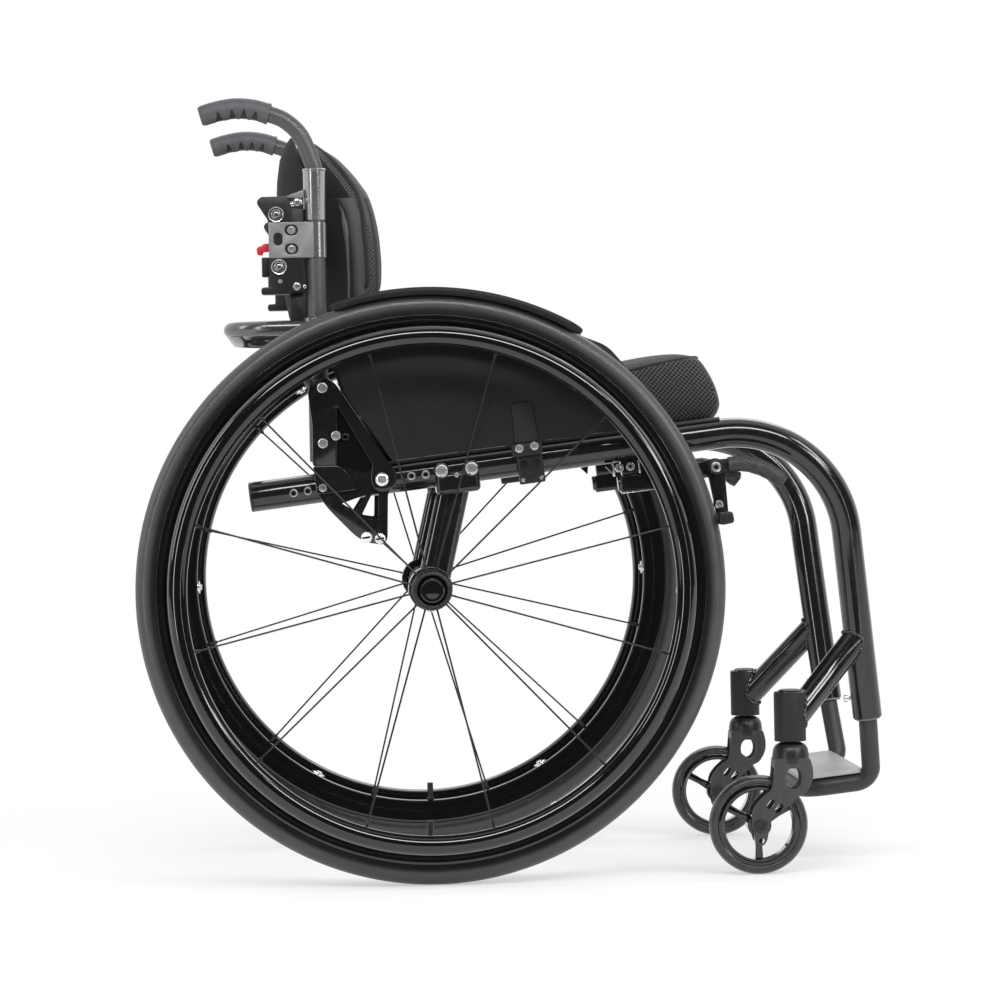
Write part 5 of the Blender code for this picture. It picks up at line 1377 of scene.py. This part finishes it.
def makeClamps():
    g = clampShape
    strip = [Vector((-156, 196.3, 0)), Vector((-110.5, 196.3, 0)), Vector((-110.5, 195.4, 0))]
    turns = [pi / 2 - pi * k / 20 for k in range(21)]
    outer = [Vector((caneX + 10.9 * cos(a), caneY + 10.9 * sin(a), 0)) for a in turns[1:]]
    inner = [Vector((caneX + 10.2 * cos(a), caneY + 10.2 * sin(a), 0)) for a in reversed(turns)]
    ring = strip + outer + [Vector((-138, 173, 0)), Vector((-138, 174.7, 0))] + inner
    ring.append(Vector((-156, 195.3, 0)))
    bm = bmesh.new()
    bm.faces.new([bm.verts.new(p + up * g["foot"]) for p in ring])
    raised(bm, up * g["height"])
    cuts = [roundedPlate(-133, z, 6.75, 5.4, 5.2, 190, 12) for z in g["screws"]]
    cuts.append(roundedPlate(-146.5, 650, 4.5, 6.4, 4, 190, 12))
    clamp = soften(carved(bm, cuts), 0.4, 2, 60)
    wedge = plate([(-119.5, 700, 1), (-119.5, 691.5, 1), (-142, 692)], 183, 8, 0.4)
    pair(together(clamp, wedge), "caneClamp", "backrest", clampGrey, ["cane_clamp"])
    low = g["foot"] + 0.2
    high = g["foot"] + g["height"] - 0.2
    band = lathe([(10.9, low), (11.35, low), (11.35, high), (10.9, high)], (caneX, caneY, 0), up, 56)
    pair(band, "caneBand", "backrest", sleeve)
    heads = [screw((-133, 194.6, z), left, 4.3, 2.4) for z in g["screws"]]
    pair(together(*heads), "clampScrews", "backrest", steel)


hookOutline = [(-121, 680, 1), (-132, 681, 1), (-136, 693, 1), (-163, 693, 2), (-168, 688, 3),
               (-156, 669, 3), (-156, 602, 1), (-164.4, 601.5, 2.5), (-164.4, 594.6, 2.5),
               (-133.5, 594.6, 1), (-133.5, 596, 0.5), (-121, 596, 1)]
hookPinPlaces = ((-148, 674.8), (-146, 622))
leverOutline = [(-166.3, 643.2, 1), (-154, 647, 1), (-154, 639, 1), (-160.9, 638.6), (-163, 634.3, 1),
                (-167.7, 635.1, 1), (-168.7, 641, 1)]


def makeHooks():
    body = plate(hookOutline, 175, 20, 0.9)
    arm = block((-144.3, 113, 632), (-138.3, caneY, 666), 1.5, 3)
    foot = lathe([(0, 0), (13, 0), (13, 8), (0, 8)], (-153, 126, 649), ahead, 40, False)
    hinge = rod((-159, 180, 642), (-159, 190, 642), 4.6, 32)
    rest = plate([(-119.5, 604, 1), (-136, 604, 1), (-136, 566, 2), (-119.5, 566, 1)], 178, 10, 0.6)
    catch = block((-163.5, 179, 612.5), (-155, 191, 632.1), 1.2, 3)
    whole = together(carved(body, [caneSpace(560, 720), hinge]), arm, soften(foot, 0.8), rest, catch)
    pair(whole, "hookBracket", "backrest", hookBlack, ["hook_bracket"])
    rings = [lathe([(6.5, 0), (8.1, 0), (8.1, 2), (7.5, 3), (6.7, 2.8)], (x, 194.8, z), left, 40)
             for x, z in hookPinPlaces]
    small = [screw((-126.7, 194.8, 686.5), left, 4.2, 3.5), screw((-128.4, 194.8, 602), left, 4.4, 3.5),
             screw((-120.6, 194.8, 601.6), left, 2.0, 1.8), screw((-145, 194.8, 607.5), left, 2.2, 1.2),
             rod((-136, 190, 683.5), (-121.5, 190, 688), 3.6, 20, 0.5)]
    pair(together(*rings, *small), "hookRings", "backrest", steel)
    curve = [(6.3 * cos(radians(a)), 0.6 + 5.6 * sin(radians(a))) for a in range(0, 90, 10)]
    domes = [lathe([(0, 0), *curve, (0, 6.2)], (x, 194.6, z), left, 32, False) for x, z in hookPinPlaces]
    pair(together(*domes), "hookPins", "backrest", pinSteel)
    barrel = rod((-159, 180.6, 642), (-159, 189.4, 642), 4.3, 28, 0.4)
    tongue = plate(leverOutline, 181, 8, 0.8)
    pair(together(barrel, tongue), "releaseLever", "side_back_lever", red, ["release_lever"])


# Seat

seatShape = {"rear": -85, "front": 296, "cloth": 1.7, "over": 17.3, "sag": 10, "fill": 0.75,
             "cushion": (-82, 311, 172, 56)}


def slingDrop(y):
    # how far the cloth's top lies under its crown over the tubes
    over = seatShape["over"]
    span = railLine["side"] - over * sin(radians(30))
    return over * (1 - cos(radians(30))) + seatShape["sag"] * (1 - (y / span) ** 2)


def makeSling():
    g = seatShape
    outer = g["over"] - 0.1
    section = []
    for k in range(13):
        a = radians(60 + 60 * k / 12)
        section.append((railLine["side"] + outer * cos(a), outer * sin(a)))
    edge = section[-1][0]
    for k in range(1, 30):
        y = edge * (1 - 2 * k / 30)
        section.append((y, outer - slingDrop(y)))
    section += [(-y, z) for y, z in reversed(section[:13])]
    width = sum(sqrt((a[0] - b[0]) ** 2 + (a[1] - b[1]) ** 2) for a, b in zip(section, section[1:]))
    bm = bmesh.new()
    start = seatRail(g["rear"])
    end = seatRail(g["front"])
    wire = [bm.verts.new((g["rear"], y, start.z + z)) for y, z in section]
    current = [bm.edges.new(two) for two in zip(wire, wire[1:])]
    steps = 24
    way = end - start
    for _ in range(steps):
        grown = bmesh.ops.extrude_edge_only(bm, edges=current)["geom"]
        current = [item for item in grown if isinstance(item, bmesh.types.BMEdge)
                   and all(v in grown for v in item.verts)]
        shifted = [item for item in grown if isinstance(item, bmesh.types.BMVert)]
        bmesh.ops.translate(bm, verts=shifted, vec=way / steps)
    facingUp(bm)
    bmesh.ops.solidify(bm, geom=bm.faces[:], thickness=g["cloth"])
    tidy(bm)
    soften(bm, 0.4, 2, 60)
    sling = keep(bm, "seatSling", "frame", slingCloth, ["seat_sling"], 50, True)


def cushionPoint(a, b, c):
    rear, front, half, height = seatShape["cushion"]
    length = (front - rear) / cos(radians(seatTilt))
    bulge = c ** 2 if a < 0 else 0
    x = a * sqrt(1 - 0.08 * (b ** 8 + bulge)) * (1 - 0.03 * (1 - b * b) * abs(a) ** 3)
    back = 16 * ((c + 0.5) / 1.5) ** 1.5 if c > -0.5 else 9 * ((-0.5 - c) / 0.5) ** 2
    back *= max(0, a) ** 3
    y = b * sqrt(1 - 0.08 * (a ** 8 + c ** 2)) * (1 - 0.03 * (1 - a * a) * abs(b) ** 3)
    fall = 7 * max(abs(a), abs(b)) ** 6
    climb = min(1, max(0, a / 0.9))
    z = (c + 1) / 2 * (height + 14.5 * climb * climb * (3 - 2 * climb))
    if c > 0:
        z += c * (8 * (1 - a * a) * (1 - b * b) - fall)
    else:
        z -= c * fall / 2
    z -= (1 - c) / 2 * slingDrop(y * half) * cos(radians(seatTilt))
    turn = Matrix.Rotation(radians(-seatTilt), 3, left)
    middle = seatRail((front + rear) / 2)
    base = Vector((middle.x, 0, middle.z + 17.6 / cos(radians(seatTilt))))
    return turn @ Vector((x * length / 2 - back, y * half, z)) + base


def cushionPlace(a, b, c):
    a, b, c = rounder(a, b, c, 0.02)
    return cushionPoint(a * (0.998 if a > 0 else 0.985), b * 0.985, c * 0.97)


def makeSeatCushion():
    bm = filled(cushionPlace, 27, 2.5)
    pad = keep(bm, "seatCushion", "seat_pad", netting, ["seat_cushion"], 60, True)
    # piping round the top panel
    route = []
    for t in roundTurn(200):
        a = max(-0.965, min(0.965, 1.3 * cos(t)))
        b = max(-0.955, min(0.955, 1.3 * sin(t)))
        route.append(cushionPoint(a, b, 0.93))
    piping = tube(evened(route, 0.15, 0.2, 0.3), 1.8, 4, closed=True)
    keep(piping, "seatPiping", "seat_pad", edging, cloth=True)


# Side guards

guardShape = {"y": 216.5, "thick": 2.5, "radius": 299.5, "from": -19, "to": 31.5, "reach": 34,
              "fender": 2.1, "socketX": 102}
guardRear = [(-82, 494, 6), (-96, 536, 8), (-101.5, 572, 6)]
guardFront = [(182, 536, 8), (200, 515, 8), (217, 486, 6)]


def makeFender():
    # a strip that turns outward over the tyre, swept round the wheel
    g = guardShape
    radius = g["radius"]
    inner = g["y"]
    bm = bmesh.new()
    section = [(radius - 15.2, inner + 0.15)]
    for k in range(9):
        a = radians(90 * k / 8)
        section.append((radius - 6.2 + 8.6 * sin(a), inner + 8.75 - 8.6 * cos(a)))
    section += [(radius + dr, inner + g["reach"] + dy) for dr, dy in
                ((2.4, -3), (2.1, -1.4), (1.2, -0.4), (-1, 0), (-5.5, 0))]
    rows = []
    for k in range(61):
        angle = g["from"] + (g["to"] - g["from"]) * k / 60
        near = min(1, min(angle - g["from"], g["to"] - angle) / 4)
        share = 0.12 + 0.88 * sqrt(1 - (1 - near) ** 2)
        x = sin(radians(angle))
        z = cos(radians(angle))
        rows.append([bm.verts.new((r * x, inner + (y - inner) * share, r * z)) for r, y in section])
    for low, high in zip(rows, rows[1:]):
        for k in range(len(section) - 1):
            bm.faces.new((low[k], low[k + 1], high[k + 1], high[k]))
    facingUp(bm)
    bmesh.ops.solidify(bm, geom=bm.faces[:], thickness=g["fender"])
    tidy(bm)
    soften(bm, 0.5, 2, 50)
    return moved(bm, (0, 0, axleHeight))


def makeGuard():
    g = guardShape
    reach = g["radius"] - 4
    arc = []
    for k in range(25):
        a = radians(g["from"] + (g["to"] - g["from"]) * k / 24)
        arc.append((reach * sin(a), axleHeight + reach * cos(a)))
    feet = [(230, seatRail(230).z + 16.5, 2), (-36, seatRail(-36).z + 16.5, 2)]
    sheet = plate(guardRear + arc + guardFront + feet, g["y"], g["thick"], 0.6)
    centre = seatRail(g["socketX"])
    tongue = block((93.5, 209.6, centre.z - 14), (110.5, 213.6, centre.z + 52), 1)
    bridge = block((93.5, 211.6, centre.z + 18), (110.5, 217.5, centre.z + 52), 1)
    tab = plate([(89.5, centre.z + 18, 2), (112.5, centre.z + 18, 2), (111.5, centre.z + 58, 6),
                 (90.5, centre.z + 58, 6)], 218.8, 2.4, 0.7)
    tongue, bridge, tab = [turned(item, -seatTilt, centre) for item in (tongue, bridge, tab)]
    whole = together(sheet, makeFender(), tongue, bridge)
    pair(whole, "sideGuard", "side_guard", guardBlack, ["side_guard"], 40)
    pair(tab, "guardTab", "side_guard", padRubber)
    # a thin near-black strip at the guard's rear lower edge is painted shadow of the opening there
    shadowSheet = plate([(-91.8, 517.2), (-17.2, 426.4), (-32.1, 426.4), (-85, 506.3)], 216.6, 1.2, 0)
    pair(shadowSheet, "guardSkirt", "side_guard", paintedShadowBlack)
    heads = [screw((91.3, 221.1, 434.2), left, 4.4, 2.4), screw((106.5, 221.1, 436.5), left, 4.4, 2.4)]
    foot = plate([(84, 425, 3), (115, 428.6, 3), (114, 441, 3), (83, 438, 3)], 218.9, 2.2, 0.6)
    pair(together(*heads), "guardScrews", "side_guard", steel)
    pair(foot, "guardTabFoot", "side_guard", padRubber)
    # thin steel rods in broken lengths along the guard's foot stand in for the seat tube's top highlight, a
    # painted highlight
    edge = []
    for start, end in ((-34, -8), (-4, 30), (33, 78), (120, 148), (151, 182), (186, 226)):
        y = g["y"] + 2.4
        edge.append(rod((start, y, seatRail(start).z + 17), (end, y, seatRail(end).z + 17), 0.42, 8))
    pair(together(*edge), "guardFootEdge", "side_guard", darkSteel)


def makeSocket():
    centre = seatRail(guardShape["socketX"])
    shell = block((89, 205.3, centre.z - 24), (115, 217.9, centre.z + 12), 1.6, 3)
    pocket = block((93.2, 209.3, centre.z - 14.3), (110.8, 213.9, centre.z + 60), 0)
    holes = [rod((x, 215.5, centre.z - 4), (x, 222, centre.z - 4), 3.6, 28) for x in (95.5, 108.5)]
    socket = turned(carved(shell, [pocket, *holes]), -seatTilt, centre)
    pair(socket, "guardSocket", "frame", satin, ["guard_socket"])
    dots = [screw((x, 217.8, centre.z - 19.5), left, 2.0, 1.0) for x in (92.6, 111.4)]
    pair(turned(together(*dots), -seatTilt, centre), "socketScrews", "frame", steel)


# Wheel locks

brakeShape = {"x": 212, "drop": 37, "pivot": (289, 411.65), "angle": 12.5, "lever": 8.3, "shoe": 7.5}
leverRoute = [(12.5, 2.2), (28, 3), (41.5, 0), (55.5, -6.5), (68.5, -16.5)]


def capsule(start, end, radius, y, thickness, startRadius=None):
    # a flat link with round ends
    first = startRadius or radius
    line = atan2(end[1] - start[1], end[0] - start[0])
    outline = []
    for centre, turn, r in ((end, line - pi / 2, radius), (start, line + pi / 2, first)):
        for k in range(13):
            a = turn + pi * k / 12
            outline.append((centre[0] + r * cos(a), centre[1] + r * sin(a)))
    return plate(outline, y, thickness, 0.5)


def makeBrakeMount():
    g = brakeShape
    px, pz = g["pivot"]
    middle = seatRail(g["x"])
    saddle = onRail(g["x"], (-19, -13, -29), (19, 6, -9), 1.2, 3)
    saddle = carved(saddle, [rod(seatRail(160), seatRail(264), 15.3, 48)])
    base = onRail(g["x"], (-22, -10, -47), (42, 11, -29), 1.4, 3)
    wedge = plate([(middle.x - 33, middle.z - 21.5, 0.5), (middle.x - 24, middle.z - 20, 0.5),
                   (middle.x - 25, middle.z - 29, 1)], 192, 8, 0.4)
    drop = Vector((0, 0, -g["drop"]))
    bar = rod(seatRail(192) + drop, seatRail(262) + drop, 8, 40, 0.8)
    end = seatRail(262) + drop
    knee = block(end + Vector((-16, 0, -9)), Vector((end.x, 209.5, end.z + 9)), 1.2, 3)
    arm = capsule((end.x - 8, end.z), (px, pz), 9, 208.5, 4, 7.5)
    pin = rod((px, 210, pz), (px, 223, pz), 4, 28)
    pair(together(saddle, base, wedge, bar, knee, arm, pin), "brakeMount", "frame", paint, ["brake_mount"])
    pair(screw((px, 221.3, pz), left, 5.2, 2.2), "brakePivotBolt", "frame", steel)
    # bright rings and edges on the right saddle only
    ring = [(1.6, 0), (4.2, 0), (4.2, 9), (3.6, 9.6), (1.6, 9.6)]
    bright = [lathe(ring, middle + Vector((dx, 4, dz)), left, 28)
              for dx, dz in ((-18.9, -23), (-7.8, -21.7))]
    bright += [onRail(g["x"], (dx - 0.9, 4, -28.6), (dx + 0.9, 13, -15.5), 0.3) for dx in (-27.4, -1.2)]
    bright.append(onRail(g["x"], (-21.6, 10.2, -47.1), (41, 11.3, -46.2), 0.2))
    keep(mirrored(together(*bright)), "rightBrakeRings", "frame", steel)


def makeBrakeArm():
    # the shoe stands just off the tyre, at an angle above the axle
    g = brakeShape
    px, pz = g["pivot"]
    size = g["shoe"]
    reach = axleHeight + size + 0.3
    sx = reach * cos(radians(g["angle"]))
    sz = axleHeight + reach * sin(radians(g["angle"]))
    pivotHole = rod((px, 200, pz), (px, 230, pz), 4.5, 32)
    link = carved(capsule((px, pz), (sx, sz), 6, 212.8, 4, 9), [pivotHole])
    brace = capsule((px + 2, pz - 6), (sx - 3.6, sz + 14), 6.2, 216.9, 2.2, 4.5)
    pair(together(link, brace), "brakeArm", "side_brake_arm", paint, ["brake_shoe"])
    flat = [(-size, -6, 3.4), (size - 0.6, -6, 3.4), (size - 0.6, 6, 3.4), (-size, 6, 3.4)]
    shoe = moved(turned(plate(flat, 215, 40.5, 0.7), -10, (0, 0, 0)), (sx, 0, sz))
    grooves = [block((sx - 12, y, sz - 12), (sx - size + 0.7, y + 1, sz + 12), 0)
               for y in range(222, 247, 6)]
    pair(carved(shoe, grooves), "brakeShoe", "side_brake_arm", hookBlack)
    pair(screw((sx - 3.8, 219, sz + 13.6), left, 4.2, 2.2), "brakeArmBolt", "side_brake_arm", steel)


def makeBrakeLever():
    g = brakeShape
    px, pz = g["pivot"]
    y = 217.1
    route = [(px + x, y + 2, pz + z) for x, z in leverRoute]
    hub = capsule((px, pz), (px + 20, pz + 2.6), 6.5, y, 4, 7.5)
    hub = carved(hub, [rod((px, 210, pz), (px, 230, pz), 4.5, 32)])
    horn = plate([(px + 6, pz - 4, 2), (px + 25, pz - 5, 2), (px + 26, pz - 10, 3), (px + 19, pz - 13.5, 5),
                  (px + 8, pz - 9, 3)], y, 4, 0.6)
    pair(together(hub, horn), "brakeLeverHub", "side_brake_handle", hookBlack)
    points = glide(route, 8)
    radii = []
    for k in range(len(points)):
        share = k / (len(points) - 1)
        tip = max(0, (share - 0.93) / 0.07)
        radii.append(0.92 + 0.06 * sin(share * pi) + 0.02 * sin(share * 30) - 0.1 * tip)
    pair(tube(points, g["lever"], 10, radii), "brakeLever", "side_brake_handle", brakeGrip, ["brake_lever"])


# Footrest

footShape = {"leg": 9.5, "y": 125, "cornerZ": 85, "bend": 17, "rearBend": 22, "depth": 70, "plate": 4}


def makeFootrest():
    g = footShape
    lean = radians(frontTilt)
    corner = Vector((frontRail(g["cornerZ"]).x, g["y"], g["cornerZ"]))
    back = Vector((-cos(lean), 0, -sin(lean)))
    half = [frontRail(197), frontRail(147), corner, corner + back * g["depth"]]
    other = [Vector((p.x, -p.y, p.z)) for p in reversed(half)]
    radii = [40, g["bend"], g["rearBend"], g["rearBend"], g["bend"], 40]
    legs = tube(bend(half + other, radii, 12), g["leg"], 10)
    keep(legs, "footrestTube", "frame", satinPaint, ["footrest_tube"])
    normal = Vector((back.z, 0, -back.x))
    start = Vector((corner.x, 0, corner.z)) + normal * (g["leg"] + 0.3) + back * 8
    depth = g["depth"] + g["leg"] / 2 - 8
    wide = g["y"] + 8
    bm = bmesh.new()
    ring = [bm.verts.new(start + left * s * wide + back * d) for s, d in
            ((1, 0), (1, depth), (-1, depth), (-1, 0))]
    bm.faces.new(ring)
    rounded(bm, ring, 8, 6, "VERTICES")
    raised(bm, normal * g["plate"])
    soften(bm, 0.8, 3, 50)
    keep(bm, "footplate", "frame", palePlate, ["footplate"])


makeFrame()
makeTubeDetails()
makeCamberTube()
makeStem()
print("stage: frame")
makeWheel()
makeHandrim()
makeButton()
print("stage: rear wheels")
makeCaster()
print("stage: casters")
makeBrackets()
makeFoldPlates()
makeCane()
makeGrip()
makeBar()
makeClamps()
makeHooks()
print("stage: back")
makeShell()
makeBackCushion()
makeSling()
makeSeatCushion()
print("stage: cushions")
makeGuard()
makeSocket()
makeBrakeMount()
makeBrakeArm()
makeBrakeLever()
makeFootrest()
print("stage: guards, brakes and footrest")

# CAD nodes whose shape is right keep it and get a finish
for node in ("left_axle_pin", "right_axle_pin"):
    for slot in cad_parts[node].material_slots:
        slot.material = steel.material


# Floor, light and camera

studio = {"floor": 0.86, "key": 72, "fill": 18, "world": 0.72}
lamps = [
    ("keyLight", (0.1, -2.6, 2.4), (0, 0, 0.45), (3.8, 0.45), studio["key"]),
    ("rearLight", (0.3, 1.8, 2.4), (0, 0, 0.3), (2.4, 1.0), studio["fill"]),
    ("sideLight", (2.4, -1.5, 2.1), (0, 0, 0.45), (0.5, 1.2), studio["fill"]),
    ("farLight", (-3.0, -0.6, 1.6), (0, 0, 0.4), (0.6, 2.0), studio["fill"]),
    ("leftStrip", (-2.5, -3.1, 0.8), (0, 0, 0.45), (0.4, 2.2), 22),
    ("rightStrip", (2.3, -3.1, 0.8), (0, 0, 0.45), (0.14, 2.2), 7),
    ("strutLight", (2.2, -2.25, 1.37), (0.31, -0.19, 0.21), (0.5, 0.5), 11),
]


def makeFloor():
    bm = bmesh.new()
    bmesh.ops.create_grid(bm, x_segments=2, y_segments=2, size=9)
    bmesh.ops.translate(bm, verts=bm.verts, vec=(0, 7.3, 0))
    mesh = bpy.data.meshes.new("floor")
    bm.to_mesh(mesh)
    bm.free()
    floor = bpy.data.objects.new("floor", mesh)
    bpy.context.scene.collection.objects.link(floor)
    made = Finish("floorPaper", "", Base_Color=shade(studio["floor"]), Roughness=0.9, Specular_IOR_Level=0.2)
    place = made.places()
    x = made.part(place, 0)
    y = made.part(place, 1)
    away = (x * x + y * y) ** 0.5
    seen = made.rays("Camera") + made.rays("Glossy") + made.rays("Transmission")
    far = made.node("MapRange", {}, {0: away, 1: 0.45, 2: 1.3, 3: 0.45, 4: 1.0})
    light = made.node("Emission", {}, {"Color": (1, 1, 1, 1), "Strength": 1.0})
    share = seen.least(1.0) * far
    surface = Value(made, made.shader.outputs[0])
    mixed = made.node("MixShader", {}, {0: share, 1: surface, 2: light})
    made.show("Material Output", mixed)
    mesh.materials.append(made.material)


def makeLight(name, place, target, size, power):
    lamp = bpy.data.lights.new(name, "AREA")
    lamp.shape = "RECTANGLE"
    lamp.size = size[0]
    lamp.size_y = size[1]
    lamp.energy = power
    item = bpy.data.objects.new(name, lamp)
    item.location = place
    item.rotation_euler = (Vector(target) - Vector(place)).to_track_quat("-Z", "Y").to_euler()
    bpy.context.scene.collection.objects.link(item)


def makeWorld():
    # white to the camera, plain light on the object, and a darker low front in reflections
    world = bpy.data.worlds.new("studio")
    bpy.context.scene.world = world
    world.use_nodes = True
    made = Nodes(world.node_tree)
    way = made.node("TexCoord", {}, {}, "Generated")
    lean = made.part(way, 2) * 0.45 + made.part(way, 1)
    tone = made.ramp(lean, (0, (0.05, 0.05, 0.052)), (0.35, 1))
    white = (1, 1, 1, 1)
    plain = made.node("Background", {}, {"Color": white, "Strength": studio["world"]})
    soft = made.node("Background", {}, {"Color": tone, "Strength": 1.0})
    seen = made.node("Background", {}, {"Color": white, "Strength": 1.0})
    light = made.node("MixShader", {}, {0: made.rays("Glossy"), 1: plain, 2: soft})
    direct = made.rays("Camera").maths("MAXIMUM", made.rays("Camera"), made.rays("Transmission"))
    made.show("World Output", made.node("MixShader", {}, {0: direct, 1: light, 2: seen}))


cameraPlace = {"behindAxle": -0.09406, "away": -4.015, "height": 0.40831, "yaw": 2.48975, "pitch": -0.38284,
               "roll": 1.15, "lens": 136.216}


def makeCamera():
    g = cameraPlace
    data = bpy.data.cameras.new("camera")
    data.lens = g["lens"]
    data.sensor_width = 36
    camera = bpy.data.objects.new("camera", data)
    spot = Matrix.Translation((g["behindAxle"] + axleX, g["away"], g["height"]))
    turn = Matrix.Rotation(radians(-g["yaw"]), 4, "Z") @ Matrix.Rotation(radians(90 + g["pitch"]), 4, "X")
    camera.matrix_world = spot @ turn @ Matrix.Rotation(radians(-g["roll"]), 4, "Z")
    bpy.context.scene.collection.objects.link(camera)
    bpy.context.scene.camera = camera


makeFloor()
for lamp in lamps:
    makeLight(*lamp)
makeWorld()
makeCamera()
view = bpy.context.scene.view_settings
view.view_transform = "Standard"
print("stage: studio")
